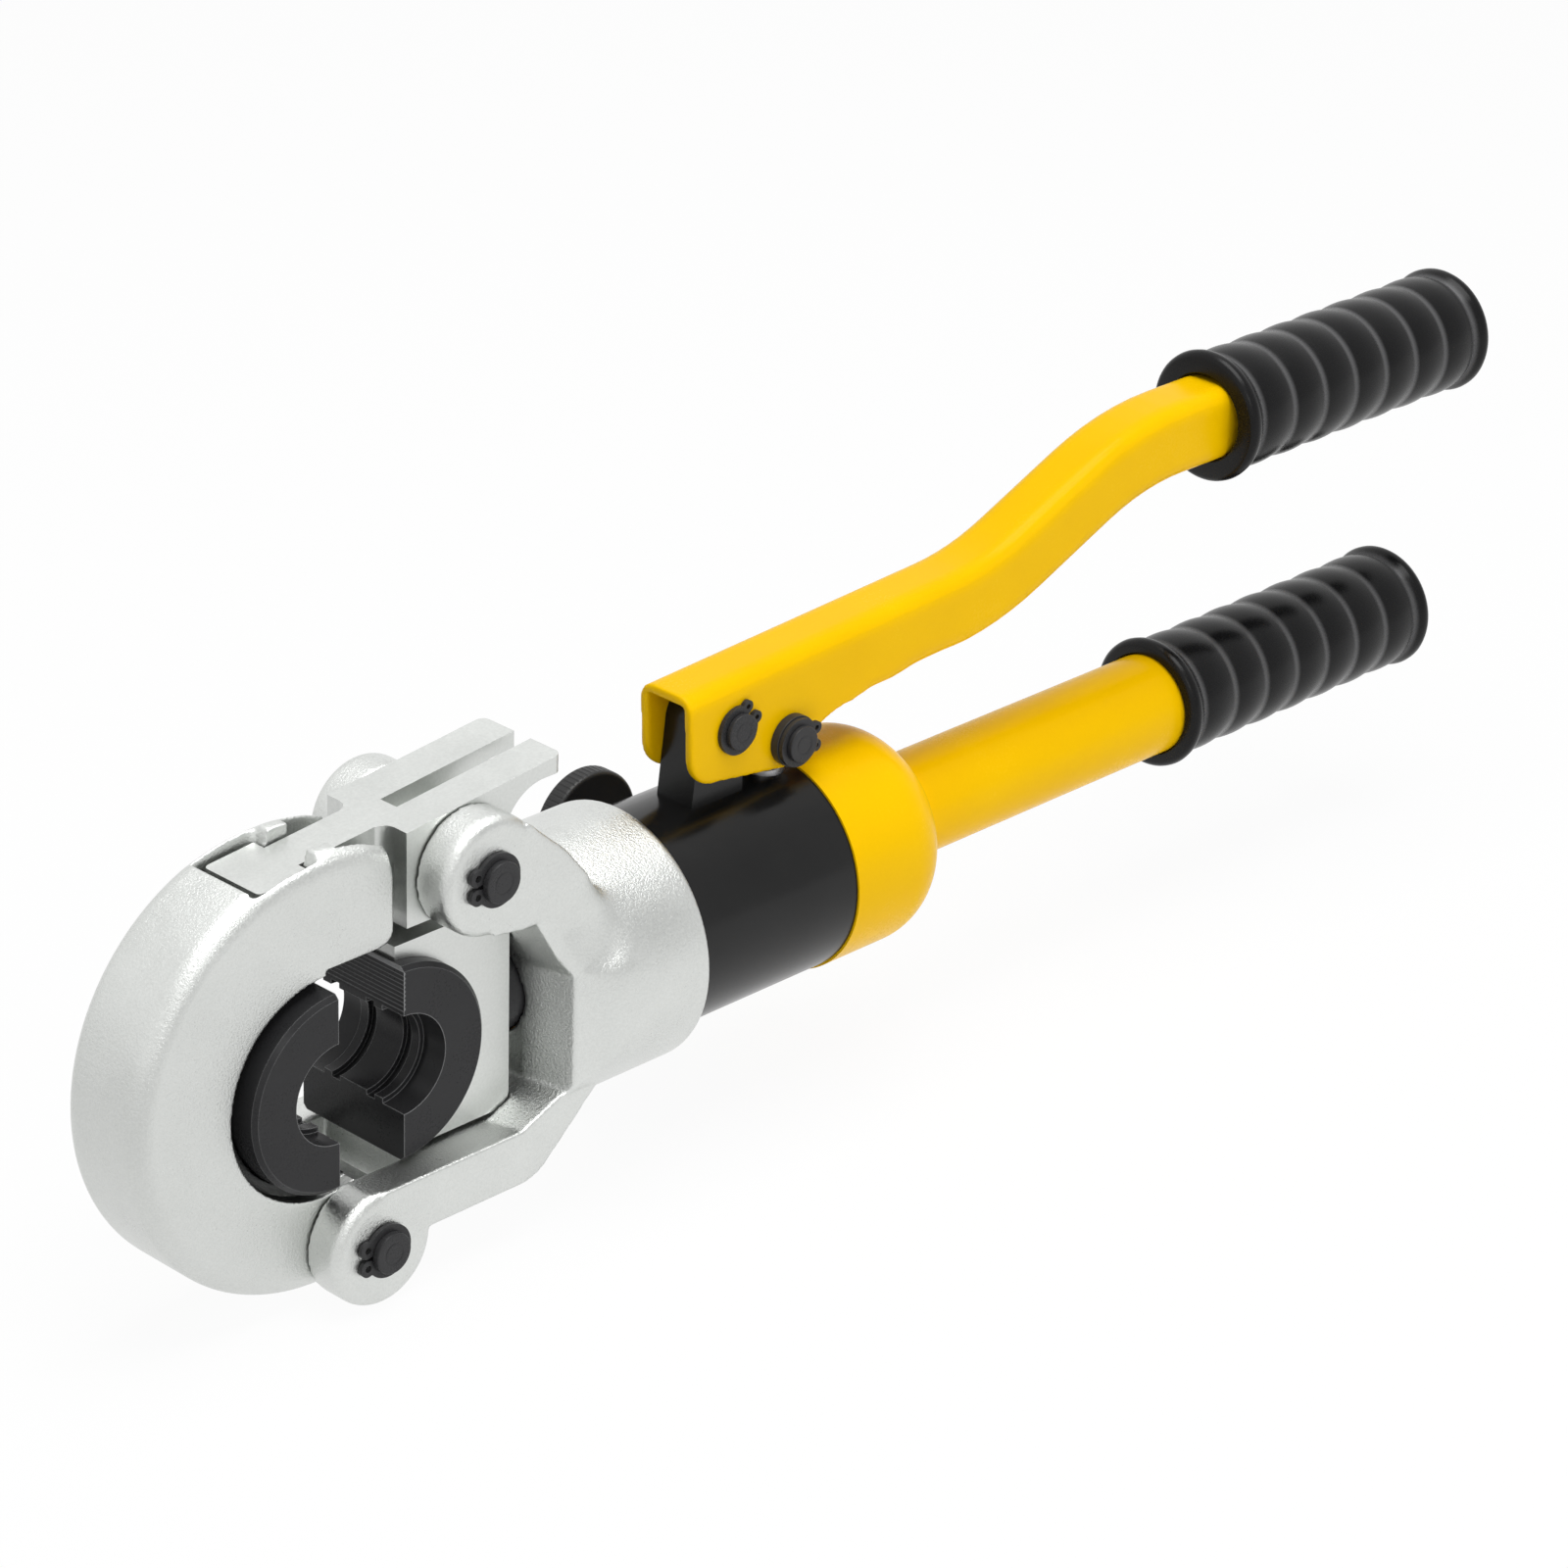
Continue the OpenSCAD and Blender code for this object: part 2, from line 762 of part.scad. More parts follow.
// T-headed latch with a forked tail, pivoting between the upper ears
module latch() {
    color("silver")
        difference() {
            intersection() {
                plate(2 * latch_half)
                    latch_outline();
                linear_extrude(height = 2 * tail_top)
                    latch_plan();
            }
            // Room for the jaw's lips between the head and the body
            both_sides()
                intersection() {
                    bar_y(latch_x, latch_z, neck_half, jaw_w, tee_rear_r);
                    block(tee_x, neck_end, jaw_w, 0, 2 * tail_top);
                }
            // Slot that forks the tail, and the bore for the pin
            block(latch_x - latch_r, tail_x + over, tail_slot / 2, latch_z + latch_r - pocket_gap,
                2 * tail_top);
            block(latch_x + latch_r, tail_x + over, tail_slot / 2, 0, 2 * tail_top);
            bar_y(latch_x, latch_z, -jaw_w, jaw_w, pin_r + run_gap);
        }
}

// Latch seen from the side: head and neck, body round the pin, and a tail hollowed below
module latch_outline() {
    difference() {
        union() {
            translate([latch_x, latch_z])
                circle(r = latch_r);
            polygon([
                [tee_x, tee_bottom],
                [latch_front, tee_bottom],
                [latch_front, latch_z - latch_r],
                [latch_x, latch_z - latch_r],
                [cove_x - cove_r, cove_z],
                [tail_x, cove_z],
                [tail_x, tail_top],
                [latch_x - latch_r, body_top],
                [tee_x, tee_top]
            ]);
        }
        translate([cove_x, cove_z])
            circle(r = cove_r);
        translate([cove_x, cove_z - cove_r])
            square([tail_l, 2 * cove_r]);
    }
}

// Latch seen from above: head with rounded corners, neck with fillets, and body
module latch_plan() {
    round_end(neck_end, tee_x, tee_half, tee_edge);
    translate([tee_x + tee_edge, -neck_half])
        square([latch_x - tee_x, 2 * neck_half]);
    difference() {
        translate([neck_end, -neck_half - neck_fillet])
            square([neck_fillet + over, 2 * (neck_half + neck_fillet)]);
        for (side = [-1, 1])
            translate([neck_end, side * (neck_half + neck_fillet - slip)])
                circle(r = neck_fillet);
    }
    round_end(latch_front, tail_x, latch_half, tail_edge);
}

// Strip along X from one place to an end with rounded corners
module round_end(from, end, half, edge) {
    way = end < from ? -1 : 1;
    low = min(from, end - way * edge);
    translate([low, -half])
        square([abs(end - from) - edge, 2 * half]);
    translate([min(from, end), -half + edge])
        square([abs(end - from), 2 * (half - edge)]);
    for (side = [-1, 1])
        translate([end - way * edge, side * (half - edge)])
            circle(r = edge);
}

// Block on the ram that carries the rear die
module die_holder() {
    color("silver")
        difference() {
            plate(2 * holder_half)
                holder_outline();
            bar_y(die_gap, 0, -jaw_w, jaw_w, die_r + slip);
            bar_x(die_gap, holder_x + over, screw_r + slip);
            bar_x(die_gap, ram_seat_x + screw_head_l + slip, screw_head_r + slip);
            bar_x(holder_x - spigot_l - slip, holder_x + over, spigot_r + slip);
            translate([0, ram_dowel_y, 0])
                bar_x(die_gap, ram_seat_x + dowel_l / 2 + slip, dowel_r + slip);
        }
}

// Die holder seen from the side, with rounded rear corners
module holder_outline() {
    front = die_gap + holder_set;
    top = prong_z - holder_play;
    bottom = -throat_z + holder_play;
    translate([front, bottom])
        square([holder_x - holder_edge - front, top - bottom]);
    translate([front, bottom + holder_edge])
        square([holder_x - front, top - bottom - 2 * holder_edge]);
    for (z = [bottom + holder_edge, top - holder_edge])
        translate([holder_x - holder_edge, z])
            circle(r = holder_edge);
}

// Rear half of the die pair, carried by the ram
module ram_die() {
    color("#2b2c2e")
        translate([die_gap, 0, 0])
            difference() {
                intersection() {
                    die_ring();
                    block(0, 2 * die_r, die_w, -2 * die_r, 2 * die_r);
                }
                translate([0, ram_dowel_y, 0])
                    bar_x(die_r - dowel_l / 2 - slip, 2 * die_r, dowel_r + slip);
            }
}

// Dowel that locates the rear die in its holder
module ram_dowel() {
    color("gray")
        translate([0, ram_dowel_y, 0])
            bar_x(ram_seat_x - dowel_l / 2, ram_seat_x + dowel_l / 2, dowel_r);
}

// Ram in one piece with its piston
module ram() {
    groove_x = piston_x + (piston_l - seal_w) / 2;
    color("#3a3b3d")
        difference() {
            union() {
                bar_x(holder_x - spigot_l, piston_x, spigot_r);
                bar_x(holder_x, piston_x + over, ram_r);
                bar_x(piston_x, piston_x + piston_l, piston_r - run_gap);
            }
            bar_x(holder_x - spigot_l - over, holder_x + screw_hold + slip, screw_r);
            difference() {
                bar_x(groove_x, groove_x + seal_w, piston_r + over);
                bar_x(groove_x - over, groove_x + seal_w + over, piston_r - seal_d);
            }
        }
}

// Socket screw that holds the die holder on the ram
module holder_screw() {
    color("dimgray")
        difference() {
            union() {
                bar_x(ram_seat_x + slip, ram_seat_x + screw_head_l, screw_head_r);
                bar_x(ram_seat_x, holder_x + screw_hold, screw_r - slip);
            }
            translate([ram_seat_x - over, 0, 0])
                rotate([0, 90, 0])
                    cylinder(h = over + screw_head_l / 2, r = screw_r, $fn = 6);
        }
}

// Seal ring of the piston
module piston_seal() {
    groove_x = piston_x + (piston_l - seal_w) / 2;
    color("#20242a")
        difference() {
            bar_x(groove_x + slip, groove_x + seal_w - slip, piston_r - run_gap);
            bar_x(groove_x - over, groove_x + seal_w + over, piston_r - seal_d + slip);
        }
}

// Bronze bush that guides the ram through the window's rear wall
module ram_bush() {
    color("#b08d57")
        difference() {
            bar_x(bush_x + slip, chamber_x, bush_r);
            bar_x(wall_x, chamber_x + over, ram_r + run_gap);
        }
}

// Coil spring that draws the ram back
module return_spring() {
    coil_r = (ram_r + piston_r) / 2;
    wire_r = spring_wire / 2;
    pitch = (spring_room - spring_wire - 2 * slip) / spring_coils;
    steps = 16;
    sides = 6;
    rings = spring_coils * steps;
    points = [for (i = [0 : rings]) for (k = [0 : sides - 1])
        let (turn = 360 * i / steps, around = 360 * k / sides)
        [chamber_x + slip + wire_r + pitch * i / steps + wire_r * sin(around),
         (coil_r + wire_r * cos(around)) * cos(turn),
         (coil_r + wire_r * cos(around)) * sin(turn)]];
    color("slategray")
        polyhedron(points = points, faces = loft_faces(rings, sides));
}

// Triangles of a closed loft over rings of points, each ring with as many sides
function loft_faces(rings, sides) = concat(
    [for (i = [0 : rings - 1]) for (k = [0 : sides - 1]) for (half = [0, 1])
        let (a = i * sides + k, b = i * sides + (k + 1) % sides)
        half == 0 ? [a, b, b + sides] : [a, b + sides, a + sides]],
    [for (k = [1 : sides - 2]) [0, k + 1, k]],
    [for (k = [1 : sides - 2]) let (last = rings * sides) [last, last + k, last + k + 1]]);

// Black cylinder with the pump block behind its bore and the lever's post on top
module cylinder_body() {
    color("#1d1d1f")
        difference() {
            union() {
                bar_x(chamber_x + slip, cyl_x, thread_r);
                bar_x(collar_x + slip, cyl_x, cyl_r);
                bar_x(bore_end, spigot_x, cap_spigot_r);
                plate(2 * post_half)
                    post_outline();
            }
            bar_x(chamber_x, bore_end, piston_r);
            // Plunger bore and the gland's counterbore
            bar_z(plunger_x, -plunger_bore_z, cyl_r + over, plunger_r + run_gap);
            bar_z(plunger_x, cyl_r - gland_d, cyl_r + over, gland_r + slip);
            // Delivery valve towards the piston and suction valve towards the reservoir
            translate([0, 0, valve_z]) {
                bar_x(bore_end - over, spigot_x + over, passage_r);
                bar_x(bore_end - over, bore_end + plug_l + 2 * ball_r, ball_r + slip);
                bar_x(spigot_x - plug_l - 2 * ball_r, spigot_x + over, ball_r + slip);
            }
            // Release valve and its return drilling
            bar_y(knob_x, knob_z, spindle_in, cyl_r, spindle_r + run_gap);
            bar_y(knob_x, knob_z, -2 * passage_r, spindle_in + over, passage_r);
            bar_z(knob_x, valve_z, knob_z, return_r);
            bar_y(fulcrum_x, fulcrum_z, -lever_w, lever_w, lever_pin_r + run_gap);
        }
}

// Post seen from the side
module post_outline() {
    translate([fulcrum_x, fulcrum_z])
        circle(r = post_r);
    polygon([
        [fulcrum_x - post_fwd, 0],
        [fulcrum_x + post_back, 0],
        [fulcrum_x + post_back, fulcrum_z],
        [fulcrum_x - post_r, fulcrum_z],
        [fulcrum_x - post_fwd, cyl_r]
    ]);
}

// Delivery ball and suction ball
module valve_balls() {
    color("gainsboro")
        for (x = [bore_end + plug_l + ball_r, spigot_x - plug_l - ball_r])
            translate([x, 0, valve_z])
                sphere(r = ball_r - slip);
}

// Hollow plugs that keep the two balls in their pockets
module valve_plugs() {
    color("goldenrod")
        for (x = [bore_end, spigot_x - plug_l])
            translate([0, 0, valve_z])
                difference() {
                    bar_x(x + slip, x + plug_l - slip, ball_r);
                    bar_x(x - over, x + plug_l + over, passage_r);
                }
}

// Gland nut round the plunger
module plunger_gland() {
    color("gray")
        difference() {
            bar_z(plunger_x, cyl_r - gland_d + seal_w, cyl_r + gland_stand, gland_r);
            bar_z(plunger_x, 0, 2 * cyl_r, plunger_r + run_gap);
        }
}

// Seal ring under the gland nut
module plunger_seal() {
    color("#20242a")
        difference() {
            bar_z(plunger_x, cyl_r - gland_d + slip, cyl_r - gland_d + seal_w - slip, gland_r);
            bar_z(plunger_x, 0, cyl_r, plunger_r + run_gap);
        }
}

// Pump plunger with a slotted eye for the lever's rear pin
module plunger() {
    slot = plunger_sway + pass_gap;
    eye = plunger_lobe_r - pass_gap;
    hole_r = lever_pin_r + pass_gap / 2;
    eye_bottom = cyl_r + gland_stand + pass_gap;
    color("lightgray")
        difference() {
            union() {
                bar_z(plunger_x, -plunger_bore_z + over, plunger_pin_z, plunger_r);
                intersection() {
                    bar_y(plunger_eye_x, plunger_pin_z, -post_half, post_half, eye);
                    block(plunger_x - eye, plunger_eye_x + eye, lever_w, eye_bottom, 2 * plunger_pin_z);
                }
            }
            for (side = [-1, 1])
                bar_y(plunger_eye_x + side * slot, plunger_pin_z, -lever_w, lever_w, hole_r);
            block(plunger_eye_x - slot, plunger_eye_x + slot, lever_w, plunger_pin_z - hole_r,
                plunger_pin_z + hole_r);
        }
}

// Hexagon gland of the release valve, seated on the cylinder
module release_gland() {
    color("dimgray")
        difference() {
            translate([knob_x, 0, knob_z])
                rotate([-90, 0, 0])
                    cylinder(h = cyl_r + nut_t, r = nut_r, $fn = 6);
            bar_x(collar_x, cyl_x, cyl_r + slip);
            bar_y(knob_x, knob_z, 0, knob_y, spindle_r + run_gap);
        }
}

// Spindle of the release valve, with a coned nose
module release_spindle() {
    nose_y = spindle_in + spindle_r;
    color("gray")
        rotate([-90, 0, 0])
            translate([knob_x, -knob_z, 0])
                rotate_extrude()
                    polygon([
                        [0, spindle_in + slip],
                        [passage_r, spindle_in + slip],
                        [spindle_r, nose_y],
                        [spindle_r, knob_y + knob_t / 2],
                        [0, knob_y + knob_t / 2]
                    ]);
}

// Release knob with grip grooves round its rim
module release_knob() {
    groove_r = PI * knob_r / knob_grooves / 2;
    groove_at = knob_r + groove_r / 2;
    color("#161616")
        difference() {
            translate([knob_x, knob_y + knob_t / 2, knob_z])
                rotate([-90, 0, 0])
                    rotate_extrude()
                        rim_profile(knob_r, knob_t, knob_t / 5);
            for (i = [0 : knob_grooves - 1])
                bar_y(knob_x + groove_at * cos(360 * i / knob_grooves),
                    knob_z + groove_at * sin(360 * i / knob_grooves),
                    knob_y - over, knob_y + knob_t + over, groove_r);
            bar_y(knob_x, knob_z, knob_y - over, knob_y + knob_t / 2 + slip, spindle_r + slip);
        }
}

// Dome of the end cap as a profile: a quarter circle round a flat end
module dome_profile(flat_r, round_r) {
    square([flat_r, round_r]);
    intersection() {
        translate([flat_r, 0])
            circle(r = round_r);
        square(flat_r + round_r + over);
    }
}

// Yellow end cap with a round shoulder
module end_cap() {
    flat_r = cap_r - cap_shoulder_r;
    color("gold")
        difference() {
            turned_x()
                union() {
                    translate([0, cyl_x + slip])
                        square([cap_r, cap_l - slip]);
                    translate([0, shoulder_x])
                        dome_profile(flat_r, cap_shoulder_r);
                }
            bar_x(cyl_x, shoulder_x, cap_spigot_r + slip);
            turned_x()
                translate([0, shoulder_x - over])
                    dome_profile(flat_r, cap_shoulder_r - cap_wall);
            bar_x(shoulder_x, cap_end_x + over, tube_r + slip);
        }
}

// Yellow handle tube, let into the end cap
module handle_tube() {
    color("gold")
        difference() {
            bar_x(cap_end_x - tube_in, grip_x + grip_l - grip_end_t - slip, tube_r);
            bar_x(shoulder_x, grip_x + grip_l, tube_r - tube_wall);
        }
}

// Rubber oil reservoir inside the handle
module oil_bladder() {
    neck_r = tube_r - tube_wall - pass_gap;
    color("#30343a")
        difference() {
            union() {
                bar_x(spigot_x + slip, spigot_x + seal_w, cap_spigot_r);
                bar_x(spigot_x + slip, grip_x, neck_r);
            }
            bar_x(spigot_x, grip_x - 2 * bladder_wall, neck_r - bladder_wall);
        }
}

// Ribbed rubber grip along X with a closed rear end; the child is the section of its bore
module grip() {
    rib_l = (grip_l - grip_ring_l - grip_end_l) / grip_ribs;
    arc_r = (rib_l * rib_l / 4 + rib_h * rib_h) / (2 * rib_h);
    color("#1b1b1c")
        difference() {
            turned_x()
                union() {
                    square([grip_r - rib_h, grip_l - grip_end_l / 2]);
                    translate([0, grip_ring_l / 2])
                        rim_profile(grip_ring_r, grip_ring_l, grip_ring_l / 3);
                    for (i = [0 : grip_ribs - 1])
                        translate([0, grip_ring_l + rib_l * i])
                            intersection() {
                                translate([grip_r - arc_r, rib_l / 2])
                                    circle(r = arc_r);
                                square([grip_ring_r, rib_l]);
                            }
                    translate([0, grip_l - grip_end_l / 2])
                        rim_profile(grip_end_r, grip_end_l, grip_end_l / 3);
                }
            translate([-over, 0, 0])
                rotate([0, 90, 0])
                    linear_extrude(height = grip_l - grip_end_t + over)
                        children();
        }
}

// Grip of the fixed handle
module handle_grip() {
    translate([grip_x, 0, 0])
        grip()
            circle(r = tube_r + slip);
}

// Place and slope of the lever's middle line at the length s
function turn_from(p, bend, sign) = [
    p[0] + sign * bend_r * (sin(p[2] + sign * bend) - sin(p[2])),
    p[1] + sign * bend_r * (cos(p[2]) - cos(p[2] + sign * bend)),
    p[2] + sign * bend];
function run_from(p, l) = [p[0] + l * cos(p[2]), p[1] + l * sin(p[2]), p[2]];
front_point = [fulcrum_x - section_v * sin(lever_tilt), fulcrum_z + section_v * cos(lever_tilt), lever_tilt];
rise_point = run_from(front_point, bend_u);
slope_point = turn_from(rise_point, lever_bend, 1);
fall_point = run_from(slope_point, slope_l);
level_point = turn_from(fall_point, steep, -1);
lever_grip_x = level_point[0] + lever_run;
lever_z = level_point[1];
function lever_at(s) =
    s <= bend_u ? run_from(front_point, s) :
    s <= s_slope ? turn_from(rise_point, (s - bend_u) / bend_l, 1) :
    s <= s_fall ? run_from(slope_point, s - s_slope) :
    s <= s_level ? turn_from(fall_point, (s - s_fall) / bend_l, -1) :
    run_from(level_point, s - s_level);

// Lower edge of the flanges below the fulcrum pin, round the lobes and along the web between them
function arc_below(u, centre_u, centre_v, r) =
    abs(u - centre_u) <= r ? centre_v - sqrt(max(0, r * r - (u - centre_u) * (u - centre_u))) : under_v;
function lobe_chord(u) =
    let (share = (u + lobe_fwd) / (plunger_u + lobe_fwd))
    share < 0 || share > 1 ? under_v :
    (1 - share) * (-lobe_down - lobe_r) + share * (plunger_v - plunger_lobe_r);
function lobe_tail(u) =
    let (share = (u - plunger_u) / (plunger_lobe_r + lobe_blend))
    share < 0 || share > 1 ? under_v :
    under_v + (plunger_v - plunger_lobe_r - under_v) * (1 - share) * (1 - share);
function flange_v(u) =
    u < -lobe_fwd ? arc_below(u, -lobe_fwd, -lobe_down, lobe_r) :
    min(under_v, arc_below(u, -lobe_fwd, -lobe_down, lobe_r), lobe_chord(u), lobe_tail(u));

// Ring of points round the lever's section at the length s, from top to foot, with its two corner radii
function corner(cy, cv, r, from) = [for (k = [0 : corner_steps])
    [cy + r * cos(from + 90 * k / corner_steps), cv + r * sin(from + 90 * k / corner_steps)]];
function section_ring(s, half, top, foot, r_top, r_foot) =
    let (p = lever_at(s))
    [for (q = concat(
        corner(half - r_top, top - r_top, r_top, 0),
        corner(-half + r_top, top - r_top, r_top, 90),
        corner(-half + r_foot, foot + r_foot, r_foot, 180),
        corner(half - r_foot, foot + r_foot, r_foot, 270)))
        [p[0] - (q[1] - section_v) * sin(p[2]), -q[0], p[1] + (q[1] - section_v) * cos(p[2])]];
module lever_loft(stations) {
    sides = 4 * (corner_steps + 1);
    points = [for (ring = stations) for (p = ring) p];
    polyhedron(points = points, faces = loft_faces(len(stations) - 1, sides));
}

// Lengths along the lever where its section is drawn
function spread(from, to, count) = [for (i = [0 : count - 1]) from + (to - from) * i / count];
lobe_end = plunger_u + plunger_lobe_r + lobe_blend;
lever_fwd = lobe_fwd + lobe_r;
front_lengths = concat(
    [for (k = [0 : 7]) -lobe_fwd - lobe_r * cos(90 * k / 8)],
    spread(-lobe_fwd, lobe_end, 30),
    [lobe_end, under_u]);
rear_lengths = concat(
    [under_u + lever_h / 2],
    spread(bend_u, s_slope, 6),
    spread(s_slope, s_fall, 1),
    spread(s_fall, s_level, 6),
    [s_level, s_grip]);

// Pressed lever: open channel in front, closed section behind
module lever() {
    half = lever_w / 2;
    lever_end = s_grip + grip_l - grip_end_t - slip;
    foot = under_v + lever_t;
    inner_edge = lever_edge - lever_t;
    color("gold")
        difference() {
            lever_loft(concat(
                [for (s = front_lengths)
                    section_ring(s, half, lever_up, flange_v(s), lever_edge, lower_edge)],
                [for (s = concat(rear_lengths, [lever_end]))
                    section_ring(s, half, lever_up, under_v, lever_edge, lever_edge)]));
            lever_loft([for (s = concat([under_u - over], rear_lengths, [lever_end + over]))
                section_ring(s, lever_in, lever_up - lever_t, foot, inner_edge, inner_edge)]);
            translate([fulcrum_x, 0, fulcrum_z])
                rotate([0, -lever_tilt, 0]) {
                    block(-lever_fwd - over, under_u, lever_in, -lever_h, lever_up - lever_t);
                    bar_y(0, 0, -lever_w, lever_w, lever_pin_r + slip);
                    bar_y(plunger_u, plunger_v, -lever_w, lever_w, lever_pin_r + slip);
                }
        }
}

// Pin on which the lever swings
module fulcrum_pin() {
    color("dimgray")
        grooved_pin(fulcrum_x, fulcrum_z, lever_w / 2 + fulcrum_out, lever_pin_r, fulcrum_clip_y);
}

// Pin that works the plunger
module plunger_pin() {
    color("dimgray")
        grooved_pin(plunger_pin_x, plunger_pin_z, lever_w / 2 + washer_t + fulcrum_out, lever_pin_r,
            plunger_clip_y);
}

// Washers under the plunger pin's circlips
module plunger_washers() {
    color("#2a2a2c")
        both_sides()
            difference() {
                bar_y(plunger_pin_x, plunger_pin_z, lever_w / 2 + slip, lever_w / 2 + washer_t, washer_r);
                bar_y(plunger_pin_x, plunger_pin_z, 0, lever_w, lever_pin_r + slip);
            }
}

// Four circlips on the lever's two pins
module lever_circlips() {
    color("#1c1c1e")
        both_sides() {
            translate([fulcrum_x, fulcrum_clip_y, fulcrum_z])
                circlip(lever_pin_r, fulcrum_clip_turn);
            translate([plunger_pin_x, plunger_clip_y, plunger_pin_z])
                circlip(lever_pin_r, plunger_clip_turn);
        }
}

// Section of the lever with its height along the first axis, widened by a clearance
module lever_section(gap) {
    edge = lever_edge + gap;
    high = lever_h + 2 * gap;
    wide = lever_w + 2 * gap;
    square([high - 2 * edge, wide], center = true);
    square([high, wide - 2 * edge], center = true);
    for (i = [-1, 1])
        for (k = [-1, 1])
            translate([i * (high / 2 - edge), k * (wide / 2 - edge)])
                circle(r = edge);
}

// Grip of the lever
module lever_grip() {
    translate([lever_grip_x, 0, lever_z])
        grip()
            lever_section(slip);
}

yoke();
hinge_pin();
latch_pin();
head_circlips();
jaw();
jaw_die();
jaw_dowel();
latch();
die_holder();
ram_die();
ram_dowel();
ram();
holder_screw();
piston_seal();
ram_bush();
return_spring();
cylinder_body();  // cylinder
valve_balls();
valve_plugs();
plunger_gland();
plunger_seal();
plunger();
release_gland();
release_spindle();
release_knob();
end_cap();
handle_tube();
oil_bladder();
handle_grip();
lever();
fulcrum_pin();
plunger_pin();
plunger_washers();
lever_circlips();
lever_grip();
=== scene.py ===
import math
import bpy
from mathutils import Matrix, Vector

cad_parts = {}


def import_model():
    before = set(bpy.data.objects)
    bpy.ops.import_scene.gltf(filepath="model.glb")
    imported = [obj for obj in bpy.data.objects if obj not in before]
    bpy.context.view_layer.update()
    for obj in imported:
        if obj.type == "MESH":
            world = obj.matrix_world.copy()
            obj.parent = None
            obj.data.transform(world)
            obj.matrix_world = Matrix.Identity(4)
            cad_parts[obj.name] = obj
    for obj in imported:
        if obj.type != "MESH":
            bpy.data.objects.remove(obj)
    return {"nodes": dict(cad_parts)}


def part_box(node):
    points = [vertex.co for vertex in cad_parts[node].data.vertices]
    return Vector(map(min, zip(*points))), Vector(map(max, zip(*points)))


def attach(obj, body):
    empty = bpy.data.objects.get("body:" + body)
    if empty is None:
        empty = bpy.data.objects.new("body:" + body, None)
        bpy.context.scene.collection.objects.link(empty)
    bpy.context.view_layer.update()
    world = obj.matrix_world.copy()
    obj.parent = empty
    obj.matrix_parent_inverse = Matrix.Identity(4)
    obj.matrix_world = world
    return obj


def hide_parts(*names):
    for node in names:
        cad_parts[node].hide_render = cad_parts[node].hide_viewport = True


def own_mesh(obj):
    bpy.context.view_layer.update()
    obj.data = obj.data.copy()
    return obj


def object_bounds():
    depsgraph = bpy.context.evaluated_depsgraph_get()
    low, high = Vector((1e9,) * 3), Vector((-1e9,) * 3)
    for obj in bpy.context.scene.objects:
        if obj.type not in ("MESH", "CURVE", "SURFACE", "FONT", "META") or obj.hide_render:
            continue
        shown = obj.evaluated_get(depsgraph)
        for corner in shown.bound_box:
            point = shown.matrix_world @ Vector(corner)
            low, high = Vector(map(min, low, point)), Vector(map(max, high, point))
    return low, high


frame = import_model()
cad_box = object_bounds()
bpy.context.scene.view_settings.view_transform = "Standard"


# Yoke: the forged head with its collar, window, lower arm and two pairs of ears.
# Zinc-plated steel forging, so every edge is soft and the skin has a fine sandy grain.
# It starts from the merged solid, which is remeshed and worn smooth as a forging is by tumbling.
def only(piece):
    if bpy.context.mode != "OBJECT":
        bpy.ops.object.mode_set(mode="OBJECT")
    bpy.ops.object.select_all(action="DESELECT")
    piece.select_set(True)
    bpy.context.view_layer.objects.active = piece


def merged_copy(node, name):
    piece = bpy.data.objects.new(name, frame["nodes"][node].data.copy())
    bpy.context.scene.collection.objects.link(piece)
    only(piece)
    bpy.ops.object.mode_set(mode="EDIT")
    bpy.ops.mesh.select_all(action="SELECT")
    bpy.ops.mesh.remove_doubles(threshold=1e-6)
    bpy.ops.object.mode_set(mode="OBJECT")
    return piece


def finish_with(piece, kind, **settings):
    only(piece)
    step = piece.modifiers.new(kind.lower(), kind)
    for key, value in settings.items():
        setattr(step, key, value)
    bpy.ops.object.modifier_apply(modifier=step.name)


def forged(node, name, voxel, passes):
    piece = merged_copy(node, name)
    finish_with(piece, "REMESH", mode="VOXEL", voxel_size=voxel)
    finish_with(piece, "SMOOTH", factor=0.5, iterations=passes)
    only(piece)
    bpy.ops.object.shade_smooth()
    return piece


def worn(piece, passes, weight):
    zone = piece.vertex_groups.new(name="worn")
    for vertex in piece.data.vertices:
        share = min(max(weight(*vertex.co), 0), 1)
        if share > 0:
            zone.add([vertex.index], share, "REPLACE")
    finish_with(piece, "SMOOTH", factor=0.5, iterations=passes, vertex_group=zone.name)
    piece.vertex_groups.clear()


def past(value, limit, fade):
    return (value - limit) / fade


def before(value, limit, fade):
    return (limit - value) / fade


def coat(piece, material):
    piece.data.materials.clear()
    piece.data.materials.append(material)


def group_of(name, inputs, outputs):
    group = bpy.data.node_groups.new(name, "ShaderNodeTree")
    for label, start in inputs:
        group.interface.new_socket(label, in_out="INPUT", socket_type="NodeSocketFloat").default_value = start
    for label in outputs:
        group.interface.new_socket(label, in_out="OUTPUT", socket_type="NodeSocketFloat")
    return group, group.nodes.new("NodeGroupInput"), group.nodes.new("NodeGroupOutput")


